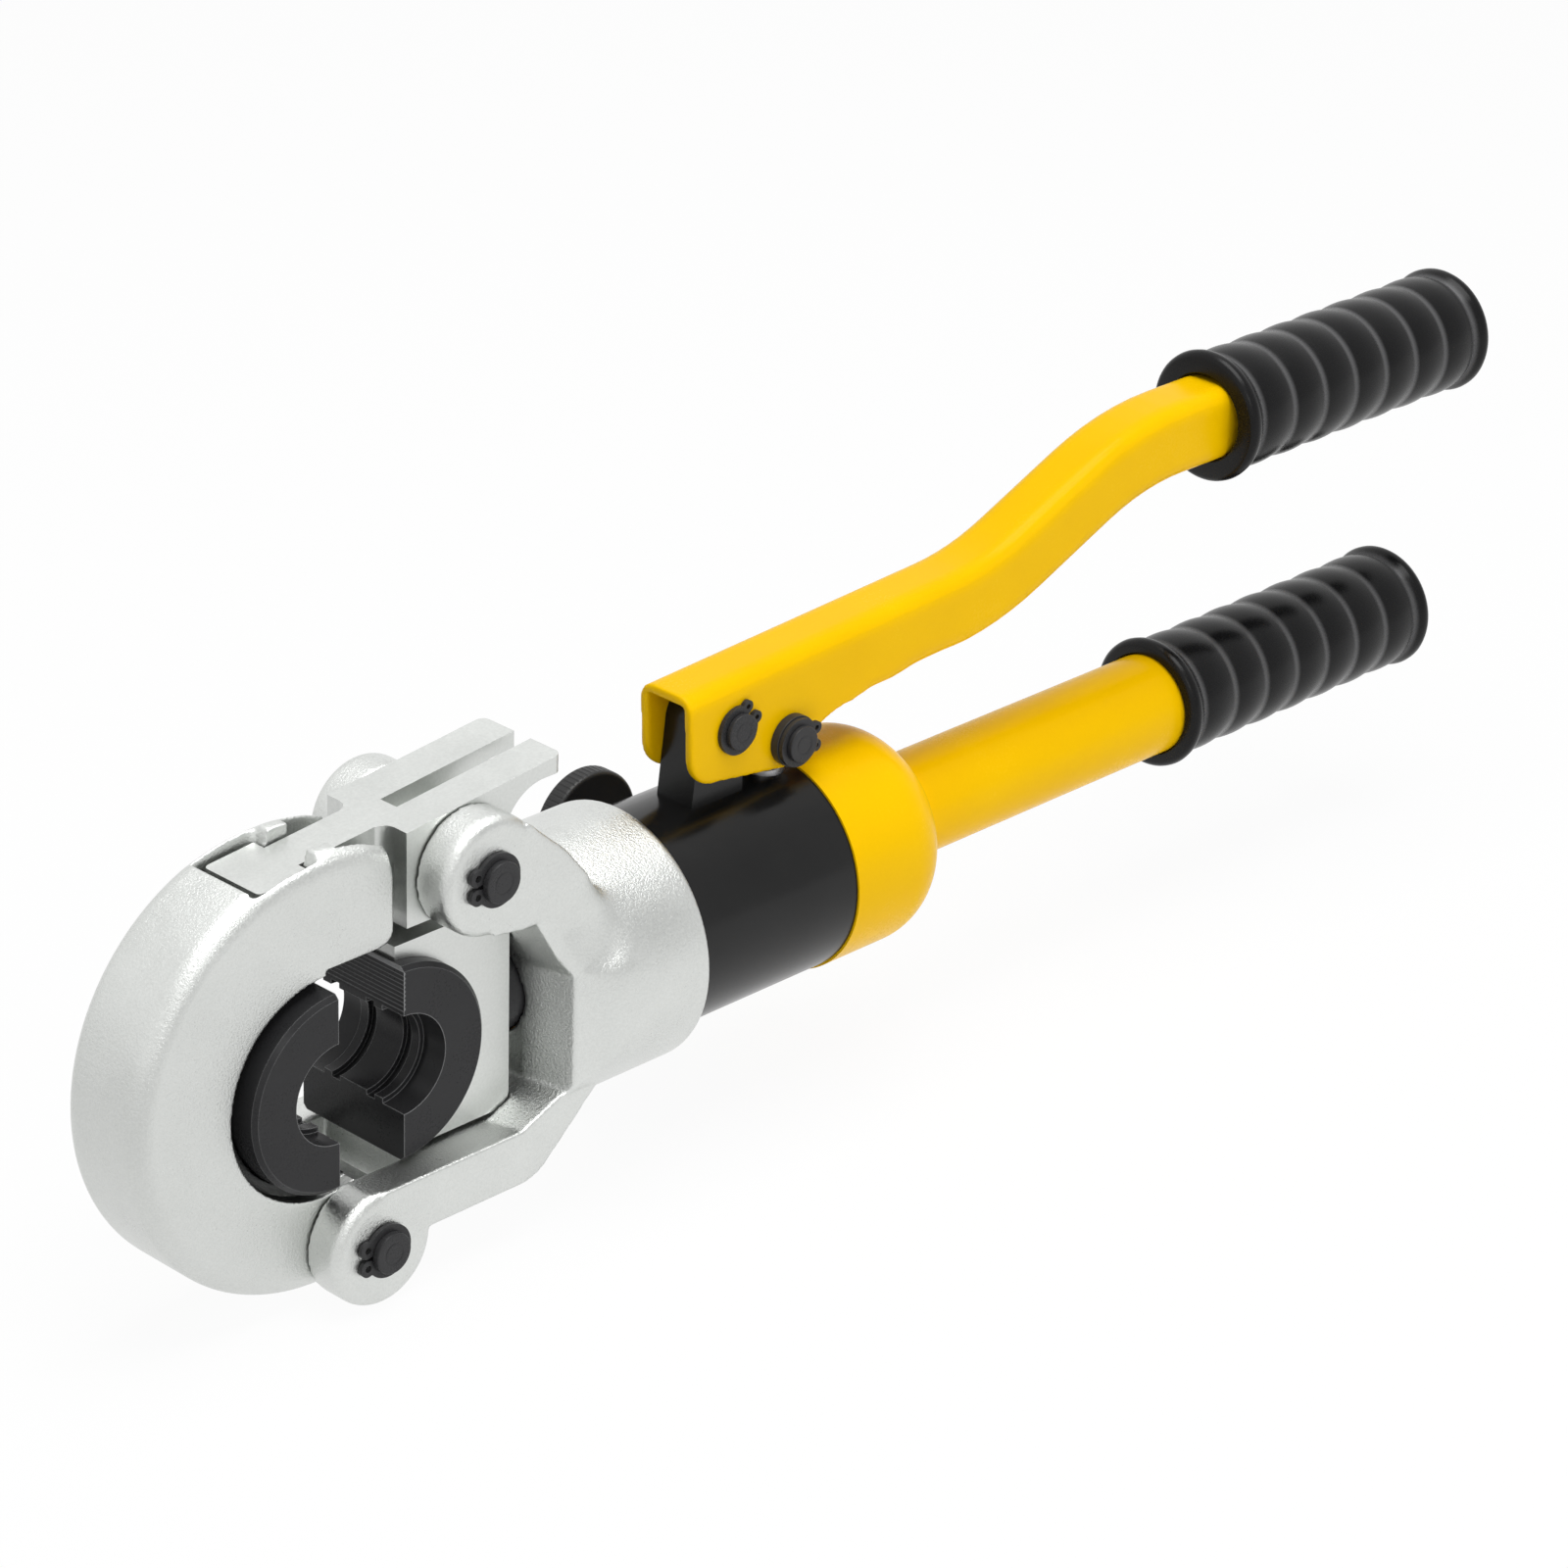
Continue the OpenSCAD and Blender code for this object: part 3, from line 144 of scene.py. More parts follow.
# Grain of a plated, painted or moulded skin: fine grain and slow mottle on Object coordinates
skin, skin_in, skin_out = group_of(
    "skin grain", [("Grain per metre", 1200), ("Mottle per metre", 45), ("Grain share", 0.6)], ["Tone", "Height"])
skin_place = skin.nodes.new("ShaderNodeTexCoord")
skin_fine = skin.nodes.new("ShaderNodeTexNoise")
skin_fine.inputs["Detail"].default_value = 4
skin_fine.inputs["Roughness"].default_value = 0.62
skin_slow = skin.nodes.new("ShaderNodeTexNoise")
skin_slow.inputs["Detail"].default_value = 3
skin_blend = skin.nodes.new("ShaderNodeMix")
skin.links.new(skin_place.outputs["Object"], skin_fine.inputs["Vector"])
skin.links.new(skin_place.outputs["Object"], skin_slow.inputs["Vector"])
skin.links.new(skin_in.outputs["Grain per metre"], skin_fine.inputs["Scale"])
skin.links.new(skin_in.outputs["Mottle per metre"], skin_slow.inputs["Scale"])
skin.links.new(skin_in.outputs["Grain share"], skin_blend.inputs["Factor"])
skin.links.new(skin_slow.outputs["Fac"], skin_blend.inputs["A"])
skin.links.new(skin_fine.outputs["Fac"], skin_blend.inputs["B"])
skin.links.new(skin_blend.outputs["Result"], skin_out.inputs["Tone"])
skin.links.new(skin_fine.outputs["Fac"], skin_out.inputs["Height"])


def map_range(nodes, start, end, low=0.0, high=1.0):
    node = nodes.new("ShaderNodeMapRange")
    for label, value in (("From Min", start), ("From Max", end), ("To Min", low), ("To Max", high)):
        node.inputs[label].default_value = value
    return node


def skinned(name, dark, light, rough, metallic, grain, mottle, bump, share=0.6, specular=0.5):
    material = bpy.data.materials.new(name)
    material.use_nodes = True
    nodes, links = material.node_tree.nodes, material.node_tree.links
    shader = nodes["Principled BSDF"]
    shader.inputs["Metallic"].default_value = metallic
    shader.inputs["Specular IOR Level"].default_value = specular
    grained = nodes.new("ShaderNodeGroup")
    grained.node_tree = skin
    grained.inputs["Grain per metre"].default_value = grain
    grained.inputs["Mottle per metre"].default_value = mottle
    grained.inputs["Grain share"].default_value = share
    tint = nodes.new("ShaderNodeValToRGB")
    tone_low, tone_high = 0.3, 0.7
    tint.color_ramp.elements[0].position = tone_low
    tint.color_ramp.elements[0].color = (*dark, 1)
    tint.color_ramp.elements[1].position = tone_high
    tint.color_ramp.elements[1].color = (*light, 1)
    gloss = map_range(nodes, tone_low, tone_high, *rough)
    relief = nodes.new("ShaderNodeBump")
    relief.inputs["Strength"].default_value = bump[0]
    relief.inputs["Distance"].default_value = bump[1]
    links.new(grained.outputs["Tone"], tint.inputs["Fac"])
    links.new(grained.outputs["Tone"], gloss.inputs["Value"])
    links.new(grained.outputs["Height"], relief.inputs["Height"])
    links.new(tint.outputs["Color"], shader.inputs["Base Color"])
    links.new(gloss.outputs["Result"], shader.inputs["Roughness"])
    links.new(relief.outputs["Normal"], shader.inputs["Normal"])
    return material


zinc_look = dict(
    dark=(0.64, 0.655, 0.635), light=(0.77, 0.785, 0.765), rough=(0.24, 0.42), metallic=1,
    grain=1450, mottle=60, bump=(0.8, 0.00023))
forged_zinc = skinned("forged zinc", **zinc_look)
yoke = forged("yoke", "yoke_forging", voxel=0.0006, passes=4)
collar_x, collar_fade, kept_share = 0.102, 0.006, 0.5
# The cheeks, then the brows under the upper ears
worn(yoke, 6, lambda x, y, z: min(
    past(x, 0.073, 0.004), before(x, collar_x, collar_fade), past(abs(y), 0.018, 0.004)))
worn(yoke, 24, lambda x, y, z: min(
    past(x, 0.058, 0.004), before(x, collar_x, collar_fade), past(z, 0.026, 0.005), past(abs(y), 0.017, 0.004)))
# The facets of the cheeks run out softly into the round collar
worn(yoke, 350, lambda x, y, z: min(
    past(x, 0.0735, 0.005), before(x, collar_x, collar_fade), past(abs(y), 0.02, 0.004),
    before(z, 0.036, 0.006), past(z, -0.008, 0.008)))
finish_with(yoke, "DECIMATE", ratio=kept_share)
coat(yoke, forged_zinc)
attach(yoke, "frame")
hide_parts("yoke")


# Ram bush: the bronze guide pressed into the window's rear wall.
# Turned bronze with fine lathe marks; only its front ring shows round the ram.
turned_bronze = skinned(
    "turned bronze",
    dark=(0.42, 0.27, 0.10), light=(0.55, 0.37, 0.16), rough=(0.25, 0.4), metallic=1,
    grain=900, mottle=80, bump=(0.1, 0.0001))
coat(frame["nodes"]["ram_bush"], turned_bronze)


# Return spring: the coil that draws the ram back, hidden in the collar.
# Hard-drawn steel wire with a bright, slightly streaked skin.
bright_steel = skinned(
    "bright steel",
    dark=(0.46, 0.46, 0.47), light=(0.60, 0.60, 0.61), rough=(0.22, 0.36), metallic=1,
    grain=700, mottle=90, bump=(0.08, 0.0001))
spring = merged_copy("return_spring", "return_spring_coil")
only(spring)
bpy.ops.object.shade_smooth()
coat(spring, bright_steel)
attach(spring, "frame")
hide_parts("return_spring")
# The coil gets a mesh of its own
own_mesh(spring)


# Cylinder: the black pump cylinder, screwed into the collar, with the lever's post milled on its top.
# Steel with a satin black coating that shows a faint orange peel.
def machined(node, name, edge):
    piece = merged_copy(node, name)
    bpy.ops.object.mode_set(mode="EDIT")
    bpy.ops.mesh.select_all(action="SELECT")
    bpy.ops.mesh.dissolve_limited(angle_limit=math.radians(0.2))
    bpy.ops.object.mode_set(mode="OBJECT")
    finish_with(piece, "BEVEL", width=edge, segments=2, limit_method="ANGLE", angle_limit=math.radians(32),
                use_clamp_overlap=True, miter_outer="MITER_ARC")
    return piece


def settle(piece, angle=38):
    only(piece)
    bpy.ops.object.shade_smooth_by_angle(angle=math.radians(angle))
    finish_with(piece, "WEIGHTED_NORMAL", weight=100, keep_sharp=True)


black_coat = skinned(
    "satin black coating",
    dark=(0.004, 0.004, 0.004), light=(0.008, 0.008, 0.008), rough=(0.19, 0.24), metallic=0,
    grain=1400, mottle=40, bump=(0.02, 0.00004), share=0.3, specular=0.3)
cylinder = machined("cylinder", "pump_cylinder", 0.0006)
settle(cylinder)
coat(cylinder, black_coat)
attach(cylinder, "frame")
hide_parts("cylinder")


# Valves: delivery and suction balls with the hollow plugs that keep them, inside the pump block.
# Hard bright balls and turned bronze plugs, pressed into their drillings.
coat(frame["nodes"]["valve_balls"], bright_steel)
coat(frame["nodes"]["valve_plugs"], turned_bronze)


# Ram: the piston rod with its piston and seal, which pushes the rear die.
# Black-oxidised ground steel, and a dark moulded seal in the piston's groove.
black_oxide = skinned(
    "black oxide",
    dark=(0.033, 0.033, 0.0345), light=(0.039, 0.039, 0.0405), rough=(0.24, 0.34), metallic=0,
    grain=1600, mottle=70, bump=(0.08, 0.0001), share=0.5, specular=0.16)
seal_rubber = skinned(
    "seal rubber",
    dark=(0.014, 0.016, 0.02), light=(0.022, 0.024, 0.03), rough=(0.45, 0.6), metallic=0,
    grain=1200, mottle=60, bump=(0.1, 0.0001))
coat(frame["nodes"]["ram"], black_oxide)
coat(frame["nodes"]["piston_seal"], seal_rubber)


# Die holder: the block on the ram's nose that carries the rear die, held by a socket screw.
# Milled steel, zinc plated, with broken edges.
milled_zinc = skinned(
    "milled zinc",
    dark=(0.62, 0.635, 0.615), light=(0.74, 0.755, 0.735), rough=(0.30, 0.42), metallic=1,
    grain=1100, mottle=50, bump=(0.2, 0.00015))
holder = machined("die_holder", "die_holder_block", 0.0007)
settle(holder)
coat(holder, milled_zinc)
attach(holder, "ram")
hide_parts("die_holder")
coat(frame["nodes"]["holder_screw"], black_oxide)


# Dies: two half rings with end lands and a relieved bore, located by dowels.
# Hardened steel with a black oxide skin and broken edges.
def choose(piece, kind, test):
    only(piece)
    for items in (piece.data.vertices, piece.data.edges, piece.data.polygons):
        items.foreach_set("select", [False] * len(items))
    for item in getattr(piece.data, kind):
        item.select = bool(test(item))
    bpy.ops.object.mode_set(mode="EDIT")
    bpy.ops.mesh.select_mode(type={"vertices": "VERT", "edges": "EDGE", "polygons": "FACE"}[kind])


# Edges painted brighter, partly oxide worn off and partly a painted highlight: a rounded normal is compared with
# the true one
worn_and_glinting_reach = 0.0005
worn_and_glinting, worn_and_glinting_in, worn_and_glinting_out = group_of("rubbed edges", [("Reach", worn_and_glinting_reach)], ["Mask"])
worn_and_glinting_round = worn_and_glinting.nodes.new("ShaderNodeBevel")
worn_and_glinting_round.samples = 8
worn_and_glinting_true = worn_and_glinting.nodes.new("ShaderNodeNewGeometry")
worn_and_glinting_dot = worn_and_glinting.nodes.new("ShaderNodeVectorMath")
worn_and_glinting_dot.operation = "DOT_PRODUCT"
worn_and_glinting_fade = map_range(worn_and_glinting.nodes, 0.985, 0.88)
worn_and_glinting.links.new(worn_and_glinting_in.outputs["Reach"], worn_and_glinting_round.inputs["Radius"])
worn_and_glinting.links.new(worn_and_glinting_round.outputs["Normal"], worn_and_glinting_dot.inputs[0])
worn_and_glinting.links.new(worn_and_glinting_true.outputs["Normal"], worn_and_glinting_dot.inputs[1])
worn_and_glinting.links.new(worn_and_glinting_dot.outputs["Value"], worn_and_glinting_fade.inputs["Value"])
worn_and_glinting.links.new(worn_and_glinting_fade.outputs["Result"], worn_and_glinting_out.inputs["Mask"])


def math_node(nodes, operation):
    node = nodes.new("ShaderNodeMath")
    node.operation = operation
    return node


def oxide_worn_and_glinting(name, crests=None):
    material = skinned(
        name,
        dark=(0.022, 0.022, 0.0232), light=(0.028, 0.028, 0.0292), rough=(0.24, 0.34), metallic=0,
        grain=1600, mottle=70, bump=(0.08, 0.0001), share=0.5, specular=0.16)
    nodes, links = material.node_tree.nodes, material.node_tree.links
    edges = nodes.new("ShaderNodeGroup")
    edges.node_tree = worn_and_glinting
    edges.inputs["Reach"].default_value = worn_and_glinting_reach
    mask = edges.outputs["Mask"]
    # Painted highlight along the crests of the teeth, joined to the edge mask
    if crests:
        place = nodes.new("ShaderNodeTexCoord")
        axes = nodes.new("ShaderNodeSeparateXYZ")
        crest_x, crest_z = crests
        crest_depth, crest_fade = 0.00014, 0.0003
        shallow = map_range(nodes, crest_x, crest_x + crest_depth, 1, 0)
        above = map_range(nodes, crest_z - crest_fade, crest_z)
        both = math_node(nodes, "MULTIPLY")
        most = math_node(nodes, "MAXIMUM")
        links.new(place.outputs["Object"], axes.inputs[0])
        links.new(axes.outputs["X"], shallow.inputs["Value"])
        links.new(axes.outputs["Z"], above.inputs["Value"])
        links.new(shallow.outputs["Result"], both.inputs[0])
        links.new(above.outputs["Result"], both.inputs[1])
        links.new(mask, most.inputs[0])
        links.new(both.outputs[0], most.inputs[1])
        mask = most.outputs[0]
    # The edge mask mixes in a pale grey: worn oxide and a painted highlight together
    painted_light = nodes.new("ShaderNodeMix")
    painted_light.data_type = "RGBA"
    painted_light.inputs[7].default_value = (0.21, 0.212, 0.215, 1)
    shader = nodes["Principled BSDF"]
    links.new(mask, painted_light.inputs[0])
    links.new(shader.inputs["Base Color"].links[0].from_socket, painted_light.inputs[6])
    links.new(painted_light.outputs[2], shader.inputs["Base Color"])
    return material


for node, body in (("ram_die", "ram"), ("jaw_die", "jaw")):
    die = machined(node, node + "_half_ring", 0.0004)
    crests = None
    if node == "ram_die":
        # File-cut teeth on the upper parting face: every second line is pushed in, and the crests carry a painted
        # highlight
        part_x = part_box("ram_die")[0][0]
        first_z, half_pitch, tooth_depth = 0.0150, 0.0006, 0.00048
        lines = [first_z + half_pitch * k for k in range(19)]
        for z in lines:
            choose(die, "polygons", lambda f: (
                f.normal.x < -0.99 and abs(f.center.x - part_x) < 1e-5 and f.center.z > 0.01))
            bpy.ops.mesh.bisect(plane_co=(part_x, 0, z), plane_no=(0, 0, 1))
        choose(die, "vertices", lambda v: (
            abs(v.co.x - part_x) < 1e-5 and any(abs(v.co.z - z) < 1e-6 for z in lines[1::2])))
        bpy.ops.transform.translate(value=(tooth_depth, 0, 0))
        crests = (part_x, first_z)
    settle(die, angle=28)
    coat(die, oxide_worn_and_glinting("black oxide of the " + node.replace("_", " "), crests))
    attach(die, body)
    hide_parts(node)
coat(frame["nodes"]["ram_dowel"], bright_steel)
coat(frame["nodes"]["jaw_dowel"], bright_steel)


# Jaw: the hinged C with the die seat and the pocket for the latch's head.
# A zinc-plated forging like the yoke, with a broad rounded rim.
jaw = forged("jaw", "jaw_forging", voxel=0.0005, passes=3)
# The prongs' ends, then the thin walls beside the latch's head
worn(jaw, 40, lambda x, y, z: min(past(x, 0.015, 0.003), past(z, 0.050, 0.004)))
worn(jaw, 90, lambda x, y, z: min(
    past(x, -0.022, 0.006), before(x, 0.016, 0.006), past(z, 0.049, 0.003), past(abs(y), 0.0105, 0.0008)))
finish_with(jaw, "DECIMATE", ratio=kept_share)
# Painted shade in the deep narrow relief round the die: within a radius of the die's centre the base colour turns
# near black
jaw_zinc = skinned("forged zinc round a bare seat", **zinc_look)
nodes, links = jaw_zinc.node_tree.nodes, jaw_zinc.node_tree.links
place = nodes.new("ShaderNodeTexCoord")
flat = nodes.new("ShaderNodeVectorMath")
flat.operation = "MULTIPLY"
flat.inputs[1].default_value = (1, 0, 1)
reach = nodes.new("ShaderNodeVectorMath")
reach.operation = "LENGTH"
shade_r, unshaded_r = 0.0296, 0.0304
unshaded_share = map_range(nodes, shade_r, unshaded_r)
seat_shade = nodes.new("ShaderNodeMix")
seat_shade.data_type = "RGBA"
seat_shade.inputs[6].default_value = (0.06, 0.061, 0.06, 1)
shader = nodes["Principled BSDF"]
links.new(place.outputs["Object"], flat.inputs[0])
links.new(flat.outputs["Vector"], reach.inputs[0])
links.new(reach.outputs["Value"], unshaded_share.inputs["Value"])
links.new(unshaded_share.outputs["Result"], seat_shade.inputs[0])
links.new(shader.inputs["Base Color"].links[0].from_socket, seat_shade.inputs[7])
links.new(seat_shade.outputs[2], shader.inputs["Base Color"])
coat(jaw, jaw_zinc)
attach(jaw, "jaw")
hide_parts("jaw")


# Latch: the T-headed catch with its forked tail, between the upper ears.
# Milled from bar and zinc plated, its edges lightly broken.
latch = machined("latch", "latch_catch", 0.0007)
settle(latch)
coat(latch, milled_zinc)
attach(latch, "latch")
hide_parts("latch")


# Head pins and circlips: the hinge pin and the latch pin, each kept by a circlip at both ends.
# Turned steel with a black oxide skin, and stamped spring-steel clips.
def ring_marked(pin, inset):
    reach = max(abs(v.co.y) for v in pin.data.vertices) - 1e-5
    choose(pin, "polygons", lambda f: abs(f.normal.y) > 0.99 and abs(f.center.y) > reach)
    groove = 0.00022
    bpy.ops.mesh.inset(thickness=inset)
    bpy.ops.mesh.inset(thickness=groove, depth=-groove)
    bpy.ops.mesh.inset(thickness=groove, depth=groove)
    only(pin)


def broad_lugs(clips, pin_x, pin_z, pin_r, turn):
    # Each lug grows about its own hole, clear of the slit
    lug_out, lug_side, lug_r, growth = 0.0017, 0.00255, 0.00176, 1.35
    reach = pin_r + lug_out
    for side in (-1, 1):
        angle = math.radians(turn) + side * math.asin(lug_side / reach)
        x, z = pin_x + reach * math.cos(angle), pin_z - reach * math.sin(angle)
        choose(clips, "vertices", lambda v: math.hypot(v.co.x - x, v.co.z - z) < lug_r)
        bpy.ops.transform.resize(value=(growth, 1, growth), center_override=(x, 0, z))
    only(clips)


for node, edge in (("hinge_pin", 0.0006), ("latch_pin", 0.0006), ("head_circlips", 0.00015)):
    pin = machined(node, node + "_black", edge)
    if node == "head_circlips":
        broad_lugs(pin, pin_x=0.0085, pin_z=-0.044, pin_r=0.0055, turn=180)
        broad_lugs(pin, pin_x=0.0447, pin_z=0.046, pin_r=0.0055, turn=180)
    else:
        ring_marked(pin, inset=0.0021)
    settle(pin)
    coat(pin, black_oxide)
    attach(pin, "frame")
    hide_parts(node)


# Pump: the plunger with its gland nut and seal, in the top of the cylinder.
# Ground bright steel; the seal is moulded.
coat(frame["nodes"]["plunger"], bright_steel)
coat(frame["nodes"]["plunger_gland"], bright_steel)
coat(frame["nodes"]["plunger_seal"], seal_rubber)


# Release valve: the hexagon gland, its spindle and the ribbed knob on the far side.
# Black-oxidised nut, bright spindle and a moulded black plastic knob pressed onto it.
black_plastic = skinned(
    "moulded black plastic",
    dark=(0.012, 0.012, 0.012), light=(0.02, 0.02, 0.02), rough=(0.38, 0.5), metallic=0,
    grain=1500, mottle=60, bump=(0.12, 0.0001), share=0.5, specular=0.4)
coat(frame["nodes"]["release_gland"], black_oxide)
coat(frame["nodes"]["release_spindle"], bright_steel)
knob = machined("release_knob", "release_knob_ribbed", 0.0003)
settle(knob)
coat(knob, black_plastic)
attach(knob, "release")
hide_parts("release_knob")


# End cap and handle tube: the reservoir's cap behind the cylinder and the tube welded into it.
# Steel with a golden yellow powder coat that has a faint orange peel.
def turned(name, points, start, axis_z, steps):
    bpy.ops.object.select_all(action="DESELECT")
    bpy.ops.mesh.primitive_plane_add(size=0.001)
    piece = bpy.context.object
    piece.name = name
    bpy.ops.object.mode_set(mode="EDIT")
    bpy.ops.mesh.select_mode(type="VERT")
    bpy.ops.mesh.select_all(action="SELECT")
    bpy.ops.mesh.merge(type="CENTER")
    bpy.ops.transform.translate(value=(start + points[0][0], 0, axis_z + points[0][1]))
    for (x0, r0), (x1, r1) in zip(points, points[1:]):
        bpy.ops.mesh.extrude_region_move(TRANSFORM_OT_translate={"value": (x1 - x0, 0, r1 - r0)})
    bpy.ops.mesh.select_all(action="SELECT")
    bpy.ops.mesh.spin(steps=steps, angle=2 * math.pi, center=(start, 0, axis_z), axis=(1, 0, 0))
    bpy.ops.mesh.select_all(action="SELECT")
    bpy.ops.mesh.remove_doubles(threshold=1e-6)
    bpy.ops.mesh.normals_make_consistent(inside=False)
    bpy.ops.object.mode_set(mode="OBJECT")
    bpy.ops.object.shade_smooth_by_angle(angle=math.radians(40))
    return piece


yellow_coat = skinned(
    "yellow powder coat",
    dark=(0.84, 0.485, 0.0), light=(0.89, 0.53, 0.0), rough=(0.20, 0.30), metallic=0,
    grain=1300, mottle=35, bump=(0.08, 0.0001), share=0.4, specular=0.06)
for node, name, edge in (("end_cap", "end_cap_yellow", 0.0006), ("handle_tube", "handle_tube_yellow", 0.0004)):
    piece = machined(node, name, edge)
    settle(piece)
    coat(piece, yellow_coat)
    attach(piece, "frame")
    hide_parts(node)
# Weld fillet round the tube, as distance behind the cap and radius
weld = [(-0.001, 0.0143), (-0.001, 0.017), (-0.0005, 0.017), (-0.0001, 0.0161), (0.0006, 0.0153),
        (0.0014, 0.01475), (0.0024, 0.01452), (0.0024, 0.0143), (-0.001, 0.0143)]
round_steps = 96
fillet = turned("cap_weld_fillet", weld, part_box("end_cap")[1][0], 0, round_steps)
coat(fillet, yellow_coat)
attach(fillet, "frame")
coat(frame["nodes"]["oil_bladder"], seal_rubber)


# Lever: the pressed pump lever, an open channel over the post and a closed S-shaped section behind.
# Sheet steel with the same yellow powder coat, every bend soft.
lever = forged("lever", "lever_pressed", voxel=0.0006, passes=4)
# The lower edge where the open channel closes
worn(lever, 120, lambda x, y, z: min(past(x, 0.188, 0.008), before(x, 0.232, 0.008), before(z, 0.053, 0.004)))
finish_with(lever, "DECIMATE", ratio=kept_share)
coat(lever, yellow_coat)
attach(lever, "lever")
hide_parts("lever")


# Lever pins: the fulcrum pin and the plunger pin with its washers, kept by circlips.
# Turned and stamped steel with a black oxide skin.
for node, edge in (("fulcrum_pin", 0.0005), ("plunger_pin", 0.0005), ("plunger_washers", 0.0002),
                   ("lever_circlips", 0.00015)):
    pin = machined(node, node + "_black", edge)
    if node.endswith("_pin"):
        ring_marked(pin, inset=0.0019)
    settle(pin)
    coat(pin, black_oxide)
    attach(pin, "lever")
    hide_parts(node)


# Grips: the two ribbed sleeves, each with a ring at both ends.
# Black moulded rubber; the valleys between the ribs are painted a lighter grey, a painted reflection.
grip_len, ring_len, end_len, ribs = 0.107, 0.007, 0.006, 7
rib_len = (grip_len - ring_len - end_len) / ribs
reflection_width = 0.0017
# Mask of the painted reflection in the valleys between the ribs
painted_reflection, painted_reflection_in, painted_reflection_out = group_of(
    "valley dust", [("First valley", 0), ("Pitch", rib_len), ("Width", reflection_width)], ["Dust"])
painted_reflection_place = painted_reflection.nodes.new("ShaderNodeTexCoord")
painted_reflection_axis = painted_reflection.nodes.new("ShaderNodeSeparateXYZ")
painted_reflection_from = math_node(painted_reflection.nodes, "SUBTRACT")
painted_reflection_half = math_node(painted_reflection.nodes, "MULTIPLY")
painted_reflection_half.inputs[1].default_value = 0.5
painted_reflection_off = math_node(painted_reflection.nodes, "PINGPONG")
painted_reflection_fade = map_range(painted_reflection.nodes, 0, reflection_width, 1, 0)
painted_reflection_fade.interpolation_type = "SMOOTHSTEP"
painted_reflection.links.new(painted_reflection_place.outputs["Object"], painted_reflection_axis.inputs[0])
painted_reflection.links.new(painted_reflection_axis.outputs["X"], painted_reflection_from.inputs[0])
painted_reflection.links.new(painted_reflection_in.outputs["First valley"], painted_reflection_from.inputs[1])
painted_reflection.links.new(painted_reflection_in.outputs["Pitch"], painted_reflection_half.inputs[0])
painted_reflection.links.new(painted_reflection_from.outputs[0], painted_reflection_off.inputs[0])
painted_reflection.links.new(painted_reflection_half.outputs[0], painted_reflection_off.inputs[1])
painted_reflection.links.new(painted_reflection_off.outputs[0], painted_reflection_fade.inputs["Value"])
painted_reflection.links.new(painted_reflection_in.outputs["Width"], painted_reflection_fade.inputs["From Max"])
painted_reflection.links.new(painted_reflection_fade.outputs["Result"], painted_reflection_out.inputs["Dust"])


def grip_profile(mouth_r):
    # Distance from the mouth and radius: lip, front ring, ribs, end ring
    valley_r, rib_rise, rib_steps = 0.0165, 0.0009, 10
    points = [(0.006, mouth_r), (0.0006, mouth_r), (0, mouth_r + 0.0006), (0, 0.0172), (0.0004, 0.0181),
              (0.0012, 0.0187), (0.0023, 0.0189), (0.0036, 0.0186), (0.0050, 0.0177), (0.0062, 0.0169)]
    for rib in range(ribs):
        for k in range(rib_steps):
            share = k / rib_steps
            points.append((ring_len + rib_len * (rib + share), valley_r + rib_rise * (1 - (2 * share - 1) ** 2)))
    start = grip_len - end_len
    points += [(start, valley_r), (start + 0.0011, 0.0171), (start + 0.0023, 0.0178), (start + 0.0034, 0.0181),
               (start + 0.0044, 0.0180), (start + 0.0053, 0.0175), (start + 0.0058, 0.0166), (grip_len, 0.0152),
               (grip_len, 0)]
    return points


for node, body, mouth_r in (("handle_grip", "frame", 0.01455), ("lever_grip", "lever", 0.0124)):
    low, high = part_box(node)
    grip = turned(node + "_sleeve", grip_profile(mouth_r), low[0], (low[2] + high[2]) / 2, round_steps)
    rubber = skinned(
        "rubber of the " + node.replace("_", " "),
        dark=(0.003, 0.003, 0.0033), light=(0.006, 0.006, 0.0063), rough=(0.22, 0.32), metallic=0,
        grain=1500, mottle=50, bump=(0.08, 0.0001), share=0.5, specular=0.2)
    nodes, links = rubber.node_tree.nodes, rubber.node_tree.links
    valley = nodes.new("ShaderNodeGroup")
    valley.node_tree = painted_reflection
    valley.inputs["First valley"].default_value = low[0] + ring_len
    valley.inputs["Pitch"].default_value = rib_len
    valley.inputs["Width"].default_value = reflection_width
    # Painted reflection: the valleys turn light grey
    painted_reflection_mix = nodes.new("ShaderNodeMix")
    painted_reflection_mix.data_type = "RGBA"
    shader = nodes["Principled BSDF"]
    colour = shader.inputs["Base Color"].links[0].from_socket
    painted_reflection_mix.inputs[7].default_value = (0.085, 0.085, 0.087, 1)
    links.new(valley.outputs["Dust"], painted_reflection_mix.inputs[0])
    links.new(colour, painted_reflection_mix.inputs[6])
    links.new(painted_reflection_mix.outputs[2], shader.inputs["Base Color"])
    coat(grip, rubber)
    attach(grip, body)
    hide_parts(node)


